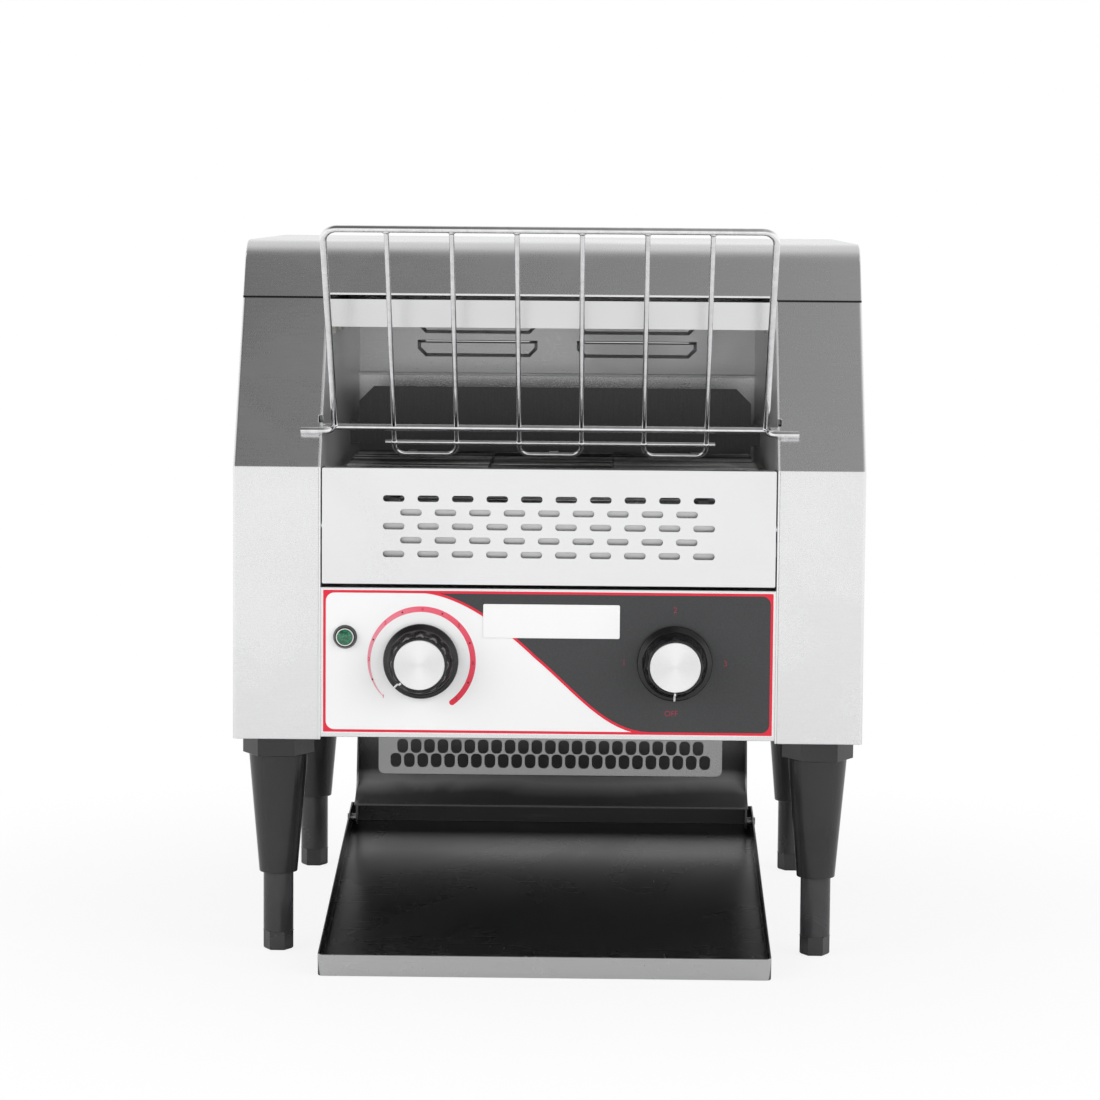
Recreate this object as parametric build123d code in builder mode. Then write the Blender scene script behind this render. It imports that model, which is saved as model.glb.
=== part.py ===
from build123d import *
import os
from math import atan, cos, degrees, pi, sin, sqrt, tan

# Conveyor toaster on four adjustable legs, in millimetres.
# X is to the right, Y to the back, Z up. The origin is on the floor, under the middle of
# the toaster's overall width and depth.

os.makedirs("parts", exist_ok=True)

# ---------------------------------------------------------------- body
BODY_WIDTH = 368.0
BODY_DEPTH = 340.0
BODY_BOTTOM = 131.0  # above the floor, with the feet screwed out
UPRIGHT_FRONT = 160.0  # height of the upright part of the front
SLOPE_RISE = 96.5  # height of the leaning part of the front, up to the cover
SLOPE_DEPTH = 60.0  # how far the front leans back over that height
COVER_RISE = 33.5
COVER_NOSE_RADIUS = 30.0
COVER_LIP_RISE = 1.6  # front edge of the cover, between the housings, above their seam
HOUSING_WIDTH = 50.0
SHEET = 1.2
BEND_RADIUS = 2.0
SEAT_GAP = 0.3  # free air beside pieces that lift off or turn

KINK_Z = BODY_BOTTOM + UPRIGHT_FRONT
SEAM_Z = KINK_Z + SLOPE_RISE
COVER_TOP = SEAM_Z + COVER_RISE
HALF_WIDTH = BODY_WIDTH / 2
HOUSING_X = HALF_WIDTH - HOUSING_WIDTH  # inner face of each side housing
WALL = 1.2
CHAMBER_X = HOUSING_X - WALL  # inner face of each chamber wall
CHUTE_DEPTH = BODY_DEPTH - 92.0  # back of the toasting chamber behind the front face
LEAN = atan(SLOPE_DEPTH / SLOPE_RISE)  # of the front, from upright

# Turned-in edges of the side housings
FRONT_LIP = 15.0
REAR_LIP = 12.0
TOP_LIP = 5.0
FLANGE = 10.0

# ---------------------------------------------------------------- bread rack
RACK_WIRE = 4.0
THIN_WIRE = 3.0
RACK_REACH = 62.0  # how far the rack's top stands in front of the body
RACK_TOP_Z = COVER_TOP + 8.4
RACK_TOP_HALF = CHAMBER_X - 5.4
RACK_FOOT_HALF = RACK_TOP_HALF - 0.9
RACK_SEAT_Z = KINK_Z + 21.8
RACK_SEAT_INSET = 9.7  # rack's cross wire behind the leaning face, measured square to it
RACK_STOP_Z = RACK_SEAT_Z - 1.3
RACK_STOP_X = CHAMBER_X - 4.8
RACK_STOP_END = HOUSING_X + 11.2
RACK_PIN_END = HOUSING_X + SHEET - SEAT_GAP
RACK_CORNER = 8.0
LOOP_CORNER = 6.0
LOOP_DROP = 20.0  # thin loops below the cross wire
THIN_BAR_DROP = 11.3
THIN_COUNT = 6
THIN_EDGE_X = RACK_TOP_HALF - 35.65  # outermost thin wires
THIN_PITCH = 2 * THIN_EDGE_X / (THIN_COUNT - 1)
THIN_BAR_HALF = THIN_EDGE_X + 5.25
WIRE_SIDES = 6

# ---------------------------------------------------------------- cord entry
GLAND_REACH = 16.0
GLAND_THREAD_RADIUS = 8.0
GLAND_HEX = 11.5
GLAND_HEX_THICKNESS = 5.0
GLAND_BORE_RADIUS = 4.5
GLAND_TAIL = 9.0
GLAND_Z = BODY_BOTTOM + 34.0
GLAND_NUT_THICKNESS = 4.0
HOLE_CLEARANCE = 0.2
THREAD_CLEARANCE = 0.05

# The toaster reaches from the rack's top to the cord gland, and the origin is midway.
FRONT_Y = -(BODY_DEPTH + GLAND_REACH - RACK_REACH) / 2
REAR_Y = FRONT_Y + BODY_DEPTH

# ---------------------------------------------------------------- legs
LEG_X = HALF_WIDTH - 24.0
LEG_INSET = 33.0  # leg axes from the front and rear faces
COLLAR_RADIUS = 21.3
COLLAR_HEIGHT = 12.7
CONE_TOP_RADIUS = 17.45
CONE_END_RADIUS = 11.3
STEM_RADIUS = 8.9
STEM_CLEARANCE = 0.08
FOOT_HEIGHT = 11.3
FOOT_RADIUS = 9.0
FOOT_CHAMFER = 0.8
FOOT_TRAVEL = 34.0
CONE_END_Z = FOOT_HEIGHT + FOOT_TRAVEL + 1.7
STEM_TOP = CONE_END_Z + 28.0
STEM_BORE_TOP = STEM_TOP + FOOT_TRAVEL + 0.9
BASE_PLATE = 2.0

# ---------------------------------------------------------------- belt and its shafts
BELT_PITCH = 10.0
BELT_TEETH = 10  # of each sprocket
BELT_FRONT = 29.0  # front shaft behind the front face
BELT_RUN = int((CHUTE_DEPTH - BELT_FRONT) / BELT_PITCH) - 3  # pitches from shaft to shaft
BELT_HALF = CHAMBER_X - 7.8
BELT_JOG_X = 0.3 * BELT_HALF  # where each strand steps to its neighbour's line
STRAND_RADIUS = 0.95
STRAND_SIDES = 4
STRAND_GAP = 0.25  # between a strand's step and the strand that it hooks
BELT_TOP = KINK_Z - 5.0
SHAFT_RADIUS = 4.0
RUNNING_CLEARANCE = 0.05
BUSH_RADIUS = 7.0
BUSH_FLANGE_RADIUS = 9.5
BUSH_FLANGE = 1.5
BUSH_TAIL = 4.0
SPROCKET_WIDTH = 6.0
SPROCKET_X = BELT_HALF - 35.0
SPROCKET_TIP = 1.3
NOTCH_CLEARANCE = 0.2
TOOTH_SLOPE = 20.0  # degrees, of each flank of a notch
SHAFT_TAIL = 2.0

# ---------------------------------------------------------------- chain drive
CHAIN_PITCH = 8.0
CHAIN_TEETH = 10
CHAIN_RUN = 9  # pitches from motor to drive shaft
CHAIN_ANGLE = 62.0  # degrees, from level, of the line from the drive shaft down to the motor
CHAIN_GAP = 3.2  # between the inner plates
LINK_PLATE = 0.8
LINK_HEIGHT = 5.6
LINK_PIN_RADIUS = 1.5
LINK_PLAY = 0.1
CHAIN_WHEEL_WIDTH = 2.4
CHAIN_HUB_RADIUS = 7.5
CHAIN_HUB_LENGTH = 3.0
CHAIN_TIP = 1.6

MOTOR_RADIUS = 27.0
MOTOR_LENGTH = 26.0
MOTOR_DROP = 11.0  # motor's can below its output shaft
GEARBOX_LENGTH = 5.0
GEARBOX_RADIUS = 15.0
MOTOR_SHAFT_RADIUS = 3.5
MOTOR_SHAFT_SOCKET = 14.0
GEARBOX_FACE_X = HOUSING_X + MOTOR_LENGTH + GEARBOX_LENGTH
CHAIN_X = GEARBOX_FACE_X + 7.0  # middle plane of the chain

# ---------------------------------------------------------------- heating
TUBE_RADIUS = 4.0
TUBES_IN_ROW = 3
UPPER_TUBE_Z = SEAM_Z - 14.5
HOLDER_SIZE = 12.0
HOLDER_FLANGE = 16.0
HOLDER_FLANGE_THICKNESS = 2.0
HOLDER_TAIL = 9.0
REFLECTOR_FRONT = 67.0
REFLECTOR_REAR = CHUTE_DEPTH - 3.0
REFLECTOR_DROP = 16.4
REFLECTOR_GAP = 1.2
UPPER_TUBE_FRONT = REFLECTOR_FRONT + 33.0
UPPER_TUBE_REAR = REFLECTOR_REAR - 35.0
LOWER_REFLECTOR_Z = BELT_TOP - 46.0
LOWER_REFLECTOR_FRONT = 12.0
LOWER_REFLECTOR_REAR = CHUTE_DEPTH - 43.0
LOWER_REFLECTOR_LIP = 7.0

# ---------------------------------------------------------------- front panels
PANEL_SHEET = 1.0
PANEL_HALF = CHAMBER_X - 0.8
PANEL_TOP = KINK_Z - 0.4
PANEL_BOTTOM = PANEL_TOP - 67.8
PANEL_FLANGE = 10.0
PANEL_PIN_RADIUS = 2.5
SLOT_LENGTH = 12.5
SLOT_HEIGHT = 3.5
SLOT_PITCH = 20.05
SLOT_ROW_PITCH = 8.1
SLOT_COLUMNS = 1 + round(2 * (PANEL_HALF - 41.8) / SLOT_PITCH)
BOX_TOP = PANEL_BOTTOM - 1.9
BOX_BOTTOM = BODY_BOTTOM + 1.7
BOX_DEPTH = 148.8
OVERLAY = 0.5
OVERLAY_MARGIN = 1.2
OVERLAY_FOOT = 2.6  # bare steel under the overlay

# ---------------------------------------------------------------- controls
KNOB_X = CHAMBER_X - 58.8
KNOB_Z = (BOX_BOTTOM + BOX_TOP) / 2 + 1.2
KNOB_RADIUS = 22.0
KNOB_SKIRT = 3.0
KNOB_WAIST_RADIUS = KNOB_RADIUS - 3.5
KNOB_NOSE_RADIUS = KNOB_WAIST_RADIUS - 2.3
KNOB_HEIGHT = 19.0
KNOB_GAP = 1.0
KNOB_EDGE = 0.8
CAP_RADIUS = KNOB_NOSE_RADIUS - 1.45
CAP_THICKNESS = 1.4
CAP_INSET = 0.6
POINTER_WIDTH = 1.6
POINTER_LENGTH = 4.5
COLOUR_POINTER = 225.0  # degrees round from +X
SELECTOR_POINTER = 270.0
SPINDLE_RADIUS = 3.0
SPINDLE_SOCKET = 9.0  # spindle inside the knob
SPINDLE_TAIL = 13.0  # spindle behind the panel
NECK_RADIUS = 5.0
NECK_CLEARANCE = 0.1
REGULATOR_SIZE = 36.0
REGULATOR_LENGTH = 30.0
SWITCH_RADIUS = 19.0
SWITCH_LENGTH = 34.0
LAMP_X = 14.5 - CHAMBER_X
LAMP_Z = KNOB_Z + 13.7
LAMP_BEZEL_RADIUS = 7.0
LAMP_BEZEL_HEIGHT = 2.4
LAMP_NECK_RADIUS = 5.6
LAMP_NECK_LENGTH = 20.0
LAMP_LENS_RADIUS = 4.6
LAMP_LENS_DEPTH = 5.0
LAMP_DOME = 1.0

# ---------------------------------------------------------------- rear panels
REAR_PANEL_HALF = HOUSING_X + 14.0
VENT_BOTTOM = SEAM_Z - 59.0
PANEL_SEAM = 0.4
LOUVRE_GAP = 24.0  # between the two columns
LOUVRE_WIDTH = REAR_PANEL_HALF - LOUVRE_GAP / 2 - 53.0
LOUVRE_HEIGHT = 13.6
LOUVRE_PITCH = 15.6
LOUVRE_ROWS = 3
LOUVRE_X = (LOUVRE_GAP + LOUVRE_WIDTH) / 2
LOUVRE_FIRST_Z = VENT_BOTTOM + 17.4
LOUVRE_REACH = 4.0
LOUVRE_TAPER = 28.0
LOUVRE_CORNER = 6.5
LOUVRE_MOUTH = 2.2
TERMINAL_SIZE = (14.0, 58.0, 20.0)
TERMINAL_DEPTH = BODY_DEPTH - 50.0
TERMINAL_Z = BODY_BOTTOM + 59.0
TERMINAL_WAYS = 4
TERMINAL_WELL = 2.6

# ---------------------------------------------------------------- guard, chute and tray
GUARD_HALF = CHAMBER_X - 25.3
GUARD_BOTTOM = BODY_BOTTOM - 44.0
GUARD_TOP = BODY_BOTTOM + 31.0
GUARD_CORNER = 4.0
GUARD_HOLE_WIDTH = 6.7
GUARD_HOLE_HEIGHT = 8.3
GUARD_HOLE_SIDE = 4.6
GUARD_PITCH = 8.4
GUARD_ROW_PITCH = 9.0
GUARD_FIRST_Z = GUARD_BOTTOM + 9.0
GUARD_HOLES = 1 + round(2 * (GUARD_HALF - 10.9) / GUARD_PITCH)
TRAY_HALF = CHAMBER_X - 2.1
TRAY_SHEET = 1.0
TRAY_FRONT = 44.0  # tray's lip in front of the body
TRAY_LENGTH = TRAY_FRONT + CHUTE_DEPTH - 4.0
TRAY_RISE = 41.0  # height of the tray's rear end
CHUTE_HALF = CHAMBER_X - 6.0
CHUTE_TOP = VENT_BOTTOM - 3.5
CHUTE_CORNER = 9.5
CHUTE_BEND_Z = BODY_BOTTOM - 31.0
CHUTE_END = (CHUTE_DEPTH - 40.0, TRAY_RISE + 17.0)  # depth and height of the chute's lower edge
CHUTE_EAR = 14.0
CHUTE_EAR_ZS = (BODY_BOTTOM + 21.0, KINK_Z + 4.0)
CHEEK_RADIUS = 4.6
CHEEK_BACK = 14.0
CHEEK_TOP = BODY_BOTTOM - 3.0
CHEEK_ROOT = BODY_BOTTOM - 27.0
TRAY_FLANGE = 13.0
TRAY_CORNER = 3.0
PIVOT_FROM_REAR = 12.0
PIVOT_ABOVE = 6.5
PIVOT_RADIUS = 2.5
PIVOT_TAIL = 1.5  # stud outside the tray

BELT_AXIS_Z = BELT_TOP - STRAND_RADIUS - BELT_PITCH / 2 / sin(pi / BELT_TEETH)
BELT_REAR = BELT_FRONT + BELT_PITCH * BELT_RUN
BELT_STEP = 1 - (2 * STRAND_RADIUS + STRAND_GAP) / BELT_PITCH  # in pitches
SIDES = (("left", -1), ("right", 1))


def back(depth):
    """Y of a point that is depth behind the body's front face."""
    return FRONT_Y + depth


def upright(y):
    """Sketching plane that faces the front at this Y; local axes are X and Z."""
    return Plane.XZ.offset(-y)


def sideways(x):
    """Sketching plane square to X; local axes are Y and Z."""
    return Plane.YZ.offset(x)


def lean_y(z, inset):
    """Y of the leaning front face at height z, moved square into the body by inset."""
    return FRONT_Y + (inset + (z - KINK_Z) * sin(LEAN)) / cos(LEAN)


def side_outline(front=0.0, top=0.0, rear=0.0, bottom=0.0):
    """Corners of the body's side view, each edge moved in by its own inset."""
    return [
        (FRONT_Y + front, BODY_BOTTOM + bottom),
        (FRONT_Y + front, KINK_Z - front * tan(LEAN / 2)),
        (lean_y(SEAM_Z - top, front), SEAM_Z - top),
        (REAR_Y - rear, SEAM_Z - top),
        (REAR_Y - rear, BODY_BOTTOM + bottom),
    ]


def save(piece, label):
    """Name a finished piece and write it to its own file."""
    piece.part.label = label
    export_step(piece.part, f"parts/{label}.step")


def rack_seat():
    """Y and Z of the rack's cross wire, resting at the bottom of its slots."""
    return lean_y(RACK_SEAT_Z, RACK_SEAT_INSET), RACK_SEAT_Z


def loop_point(axis_y, axis_z, heading, pitch, teeth, run, place):
    """Point on a belt or chain round two equal wheels, place pitches along from wheel one's top."""
    radius = pitch / 2 / sin(pi / teeth)
    half = teeth / 2
    place = place % (2 * run + teeth)
    length = run * pitch
    if place < run:
        along, across = place * pitch, radius
    elif place < run + half:
        turn = (place - run) * 2 * pi / teeth
        along, across = length + radius * sin(turn), radius * cos(turn)
    elif place < 2 * run + half:
        along, across = length - (place - run - half) * pitch, -radius
    else:
        turn = (place - 2 * run - half) * 2 * pi / teeth
        along, across = -radius * sin(turn), -radius * cos(turn)
    y = axis_y + along * cos(heading) - across * sin(heading)
    z = axis_z + along * sin(heading) + across * cos(heading)
    return y, z


def side_housings():
    """Folded steel box on each side: outer skin, front, leaning face, rear and turned-in lips."""
    for side, sign in SIDES:
        with BuildPart() as housing:
            with BuildSketch(sideways(sign * HOUSING_X)):
                Polygon(*side_outline())
            extrude(amount=sign * HOUSING_WIDTH)
            skin = housing.faces().sort_by(Axis.X)[-1 if sign > 0 else 0]
            fillet(skin.edges().sort_by(Axis.Z)[1:-1], radius=BEND_RADIUS)
            with BuildSketch(sideways(sign * (HOUSING_X + SHEET))):
                Polygon(*side_outline(SHEET, SHEET, SHEET, SHEET))
            extrude(amount=sign * (HOUSING_WIDTH - 2 * SHEET), mode=Mode.SUBTRACT)
            with BuildSketch(sideways(sign * HOUSING_X)):
                Polygon(*side_outline(FRONT_LIP, TOP_LIP, REAR_LIP, REAR_LIP))
            extrude(amount=sign * SHEET, mode=Mode.SUBTRACT)
            rack_slots(sign)
            flange_windows(sign)
            if side == "left":
                with BuildSketch(upright(REAR_Y)):
                    with Locations((-LEG_X, GLAND_Z)):
                        Circle(GLAND_THREAD_RADIUS + HOLE_CLEARANCE)
                extrude(amount=SHEET, mode=Mode.SUBTRACT)
        save(housing, f"{side}_side_housing")


def flange_windows(sign):
    """Cut the openings inside the flanges that carry the cover and the base plate."""
    inner_x = HOUSING_X + SHEET + FLANGE
    outer_x = HALF_WIDTH - SHEET - FLANGE
    for z, front_y in ((BODY_BOTTOM, FRONT_Y), (SEAM_Z - SHEET, lean_y(SEAM_Z, 0))):
        near_y = front_y + SHEET + FLANGE
        far_y = REAR_Y - SHEET - FLANGE
        with BuildSketch(Plane.XY.offset(z)) as window:
            with Locations((sign * (inner_x + outer_x) / 2, (near_y + far_y) / 2)):
                Rectangle(outer_x - inner_x, far_y - near_y)
        extrude(window.sketch, amount=SHEET, mode=Mode.SUBTRACT)


def rack_slots(sign):
    """Cut the slot, open at the leaning edge, in which the rack's cross wire rests."""
    seat_y, seat_z = rack_seat()
    radius = RACK_WIRE / 2 + SEAT_GAP
    reach = RACK_SEAT_INSET + radius
    middle = (seat_y - reach / 2 * cos(LEAN), seat_z + reach / 2 * sin(LEAN))
    with BuildSketch(sideways(sign * CHAMBER_X)) as slot:
        with Locations((seat_y, seat_z)):
            Circle(radius)
        with Locations(middle):
            Rectangle(reach, 2 * radius, rotation=-degrees(LEAN))
    extrude(slot.sketch, amount=sign * (WALL + SHEET), mode=Mode.SUBTRACT)


def chamber_walls():
    """Polished plate on each side of the toasting chamber, holding shafts, tubes and rack."""
    for side, sign in SIDES:
        with BuildPart() as wall:
            with BuildSketch(sideways(sign * CHAMBER_X)):
                Polygon(*side_outline())
                with Locations((back(BELT_FRONT), BELT_AXIS_Z), (back(BELT_REAR), BELT_AXIS_Z)):
                    RegularPolygon(BUSH_RADIUS, 6, mode=Mode.SUBTRACT)
                with Locations(*tube_points()):
                    Rectangle(HOLDER_SIZE, HOLDER_SIZE, mode=Mode.SUBTRACT)
            extrude(amount=sign * WALL)
            rack_slots(sign)
        save(wall, f"{side}_chamber_wall")


def tube_points():
    """Y and Z of the heating tubes, upper ones first; the lower ones lie between the shafts."""
    upper_pitch = (UPPER_TUBE_REAR - UPPER_TUBE_FRONT) / (TUBES_IN_ROW - 1)
    lower_pitch = (BELT_REAR - BELT_FRONT) / (TUBES_IN_ROW + 1)
    upper = [(back(UPPER_TUBE_FRONT + upper_pitch * k), UPPER_TUBE_Z) for k in range(TUBES_IN_ROW)]
    lower = [(back(BELT_REAR - lower_pitch * (TUBES_IN_ROW - k)), BELT_AXIS_Z) for k in range(TUBES_IN_ROW)]
    return upper + lower


def leg_points(sign):
    """X and Y of the front and the rear leg on one side."""
    return [(sign * LEG_X, back(LEG_INSET)), (sign * LEG_X, REAR_Y - LEG_INSET)]


def base_plates():
    """Thick plate in the floor of each side housing, which stiffens it over the legs."""
    width = HOUSING_WIDTH - 2 * SHEET
    length = BODY_DEPTH - 2 * SHEET
    for side, sign in SIDES:
        middle_x = sign * (HOUSING_X + HOUSING_WIDTH / 2)
        with BuildPart() as plate:
            with BuildSketch(Plane.XY.offset(BODY_BOTTOM + SHEET)):
                with Locations((middle_x, FRONT_Y + BODY_DEPTH / 2)):
                    Rectangle(width, length)
            extrude(amount=BASE_PLATE)
        save(plate, f"{side}_base_plate")


def cover_profile(inset):
    """Side view of the cover: leaning front, rounded nose, flat top and upright back."""
    top = COVER_TOP - inset
    rear = REAR_Y - inset
    Polygon((lean_y(SEAM_Z, inset), SEAM_Z), (lean_y(top, inset), top), (rear, top), (rear, SEAM_Z))


def top_cover():
    """One-piece cover over the chamber and both housings, with a turned-in front edge."""
    with BuildPart() as cover:
        for inset, mode in ((0.0, Mode.ADD), (SHEET, Mode.SUBTRACT)):
            with BuildSketch(sideways(inset - HALF_WIDTH)) as profile:
                cover_profile(inset)
                nose = profile.vertices().group_by(Axis.Y)[-1].sort_by(Axis.X)[0]
                fillet(nose, radius=COVER_NOSE_RADIUS - inset)
            extrude(amount=BODY_WIDTH - 2 * inset, mode=mode)
            if mode == Mode.ADD:
                for side_face in (cover.faces().sort_by(Axis.X)[0], cover.faces().sort_by(Axis.X)[-1]):
                    fillet(side_face.edges().sort_by(Axis.Z)[1:], radius=BEND_RADIUS / 2)
        lip_z = SEAM_Z + COVER_LIP_RISE
        with BuildSketch(Plane.XY.offset(SEAM_Z)):
            with Locations((0, lean_y(SEAM_Z, 0) + (SHEET + FLANGE) / 2)):
                Rectangle(2 * CHAMBER_X, SHEET + FLANGE)
        extrude(amount=COVER_LIP_RISE, mode=Mode.SUBTRACT)
        with BuildSketch(Plane.XY.offset(lip_z)):
            with Locations((0, lean_y(lip_z, 0) + (SHEET + FLANGE) / 2)):
                Rectangle(2 * CHAMBER_X, SHEET + FLANGE)
        extrude(amount=SHEET)
    save(cover, "top_cover")


def rear_panels():
    """Louvred vent panel above and plain service panel below, screwed to the housings."""
    with BuildPart() as vent:
        with BuildSketch(upright(REAR_Y)):
            with Locations((0, (VENT_BOTTOM + SEAM_Z) / 2)):
                Rectangle(2 * REAR_PANEL_HALF, SEAM_Z - VENT_BOTTOM)
        extrude(amount=-SHEET)
        louvres(REAR_Y + SHEET, 0.0, LOUVRE_REACH, Mode.ADD)
        louvres(REAR_Y, SHEET, LOUVRE_REACH, Mode.SUBTRACT)
        with BuildSketch(upright(REAR_Y + SHEET)):
            with Locations(*louvre_points(LOUVRE_HEIGHT / 2 - LOUVRE_MOUTH / 2)):
                Rectangle(LOUVRE_WIDTH - 2 * LOUVRE_CORNER, LOUVRE_MOUTH)
        extrude(amount=-LOUVRE_REACH, mode=Mode.SUBTRACT)
        with BuildSketch(Plane.XY.offset(VENT_BOTTOM)):
            with Locations((0, REAR_Y - FLANGE / 2)):
                Rectangle(2 * CHAMBER_X, FLANGE)
        extrude(amount=SHEET)
    save(vent, "rear_vent_panel")
    top = VENT_BOTTOM - PANEL_SEAM
    with BuildPart() as service:
        with BuildSketch(upright(REAR_Y)):
            with Locations((0, (BODY_BOTTOM + top) / 2)):
                Rectangle(2 * REAR_PANEL_HALF, top - BODY_BOTTOM)
        extrude(amount=-SHEET)
    save(service, "rear_service_panel")


def louvre_points(raise_by):
    """X and Z of the louvres, two columns wide."""
    rows = [LOUVRE_FIRST_Z + LOUVRE_PITCH * row + raise_by for row in range(LOUVRE_ROWS)]
    return [(sign * LOUVRE_X, z) for _, sign in SIDES for z in rows]


def louvres(y, inset, reach, mode):
    """Press the louvre scoops out of the vent panel, or hollow them from inside."""
    with BuildSketch(upright(y)) as scoops:
        with Locations(*louvre_points(0.0)):
            Rectangle(LOUVRE_WIDTH - 2 * inset, LOUVRE_HEIGHT - 2 * inset)
        lower = [group for group in scoops.vertices().group_by(Axis.Y)[::2]]
        chamfer([corner for group in lower for corner in group], length=LOUVRE_CORNER - inset)
    extrude(scoops.sketch, amount=-reach, taper=LOUVRE_TAPER, mode=mode)


def front_panel():
    """Perforated pan in front of the belt, held by a pin at each end."""
    height = PANEL_TOP - PANEL_BOTTOM
    middle_z = (PANEL_TOP + PANEL_BOTTOM) / 2
    with BuildPart() as panel:
        with BuildSketch(upright(FRONT_Y)):
            with Locations((0, middle_z)):
                Rectangle(2 * PANEL_HALF, height)
        extrude(amount=-PANEL_FLANGE)
        with BuildSketch(upright(FRONT_Y + PANEL_SHEET)):
            with Locations((0, middle_z)):
                Rectangle(2 * (PANEL_HALF - PANEL_SHEET), height - 2 * PANEL_SHEET)
        extrude(amount=-PANEL_FLANGE, mode=Mode.SUBTRACT)
        with BuildSketch(upright(FRONT_Y)):
            with Locations((0, middle_z)):
                with GridLocations(SLOT_PITCH, 2 * SLOT_ROW_PITCH, SLOT_COLUMNS, 3):
                    slot_hole()
                with GridLocations(SLOT_PITCH, 2 * SLOT_ROW_PITCH, SLOT_COLUMNS - 1, 2):
                    slot_hole()
        extrude(amount=-PANEL_SHEET, mode=Mode.SUBTRACT)
        for _, sign in SIDES:
            with BuildSketch(sideways(sign * PANEL_HALF)):
                with Locations((FRONT_Y + PANEL_FLANGE / 2, middle_z)):
                    RegularPolygon(PANEL_PIN_RADIUS, 6)
            extrude(amount=sign * (CHAMBER_X - PANEL_HALF))
    save(panel, "front_panel")


def slot_hole():
    """One slot with its ends cut to a point, in the sketch being drawn."""
    half = SLOT_LENGTH / 2
    side = SLOT_HEIGHT / 2
    Polygon(
        (half, 0),
        (half - side, side),
        (side - half, side),
        (-half, 0),
        (side - half, -side),
        (half - side, -side),
    )


def control_box():
    """Folded box across the front that carries the controls, open at its ends to the walls."""
    with BuildPart() as box:
        with BuildSketch(sideways(-CHAMBER_X)):
            height = BOX_TOP - BOX_BOTTOM
            with Locations((back(BOX_DEPTH / 2), (BOX_BOTTOM + BOX_TOP) / 2)):
                Rectangle(BOX_DEPTH, height)
                Rectangle(BOX_DEPTH - 2 * SHEET, height - 2 * SHEET, mode=Mode.SUBTRACT)
        extrude(amount=2 * CHAMBER_X)
        with BuildSketch(upright(FRONT_Y)):
            control_holes()
        extrude(amount=-SHEET, mode=Mode.SUBTRACT)
    save(box, "control_box")


def control_holes():
    """Eight-sided holes for the two control necks and the lamp, in the sketch being drawn."""
    with Locations((-KNOB_X, KNOB_Z), (KNOB_X, KNOB_Z)):
        RegularPolygon(NECK_RADIUS + NECK_CLEARANCE, 8, major_radius=False)
    with Locations((LAMP_X, LAMP_Z)):
        RegularPolygon(LAMP_NECK_RADIUS + NECK_CLEARANCE, 8, major_radius=False)


def control_overlay():
    """Thin printed panel on the control box, with holes for the controls and the lamp."""
    top = BOX_TOP - OVERLAY_MARGIN
    bottom = BOX_BOTTOM + OVERLAY_FOOT
    with BuildPart() as overlay:
        with BuildSketch(upright(FRONT_Y)):
            with Locations((0, (bottom + top) / 2)):
                Rectangle(2 * (CHAMBER_X - OVERLAY_MARGIN), top - bottom)
        extrude(amount=OVERLAY)
        with BuildSketch(upright(FRONT_Y)):
            control_holes()
        extrude(amount=OVERLAY, mode=Mode.SUBTRACT)
    save(overlay, "control_overlay")


def knob(name, x, pointer):
    """Turned knob with a wide skirt, a spun cap let into its nose, and its steel spindle."""
    seat_y = FRONT_Y - OVERLAY - KNOB_GAP
    nose_y = seat_y - KNOB_HEIGHT
    axis = Axis((x, 0, KNOB_Z), (0, 1, 0))
    with BuildPart() as body:
        with BuildSketch(Plane.XY.offset(KNOB_Z)) as half:
            with BuildLine():
                Polyline(
                    (x, seat_y),
                    (x + KNOB_RADIUS, seat_y),
                    (x + KNOB_RADIUS, seat_y - KNOB_SKIRT),
                    (x + KNOB_WAIST_RADIUS, seat_y - KNOB_SKIRT),
                    (x + KNOB_NOSE_RADIUS, nose_y),
                    (x, nose_y),
                    close=True,
                )
            make_face()
            chamfer(half.vertices().sort_by(Axis.X)[-2:].sort_by(Axis.Y)[0], length=KNOB_EDGE)
        revolve(axis=axis)
        with BuildSketch(upright(nose_y)):
            with Locations((x, KNOB_Z)):
                Circle(CAP_RADIUS)
        extrude(amount=-(CAP_THICKNESS - CAP_INSET), mode=Mode.SUBTRACT)
        with BuildSketch(upright(seat_y)):
            with Locations((x, KNOB_Z)):
                Circle(SPINDLE_RADIUS)
        extrude(amount=SPINDLE_SOCKET, mode=Mode.SUBTRACT)
        with BuildSketch(upright(nose_y)):
            with Locations((x, KNOB_Z)):
                with PolarLocations(KNOB_RADIUS - POINTER_LENGTH / 2, 1, start_angle=pointer):
                    Rectangle(POINTER_LENGTH, POINTER_WIDTH)
        extrude(amount=-KNOB_HEIGHT, mode=Mode.SUBTRACT)
    save(body, f"{name}_knob")
    with BuildPart() as cap:
        with BuildSketch(upright(nose_y + CAP_THICKNESS - CAP_INSET)):
            with Locations((x, KNOB_Z)):
                Circle(CAP_RADIUS)
        extrude(amount=CAP_THICKNESS)
        chamfer(cap.edges().sort_by(Axis.Y)[0], length=CAP_INSET / 2)
    save(cap, f"{name}_knob_cap")
    with BuildPart() as spindle:
        with BuildSketch(upright(seat_y - SPINDLE_SOCKET)):
            with Locations((x, KNOB_Z)):
                Circle(SPINDLE_RADIUS)
        extrude(amount=-(SPINDLE_SOCKET + KNOB_GAP + OVERLAY + SPINDLE_TAIL))
    save(spindle, f"{name}_spindle")


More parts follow.
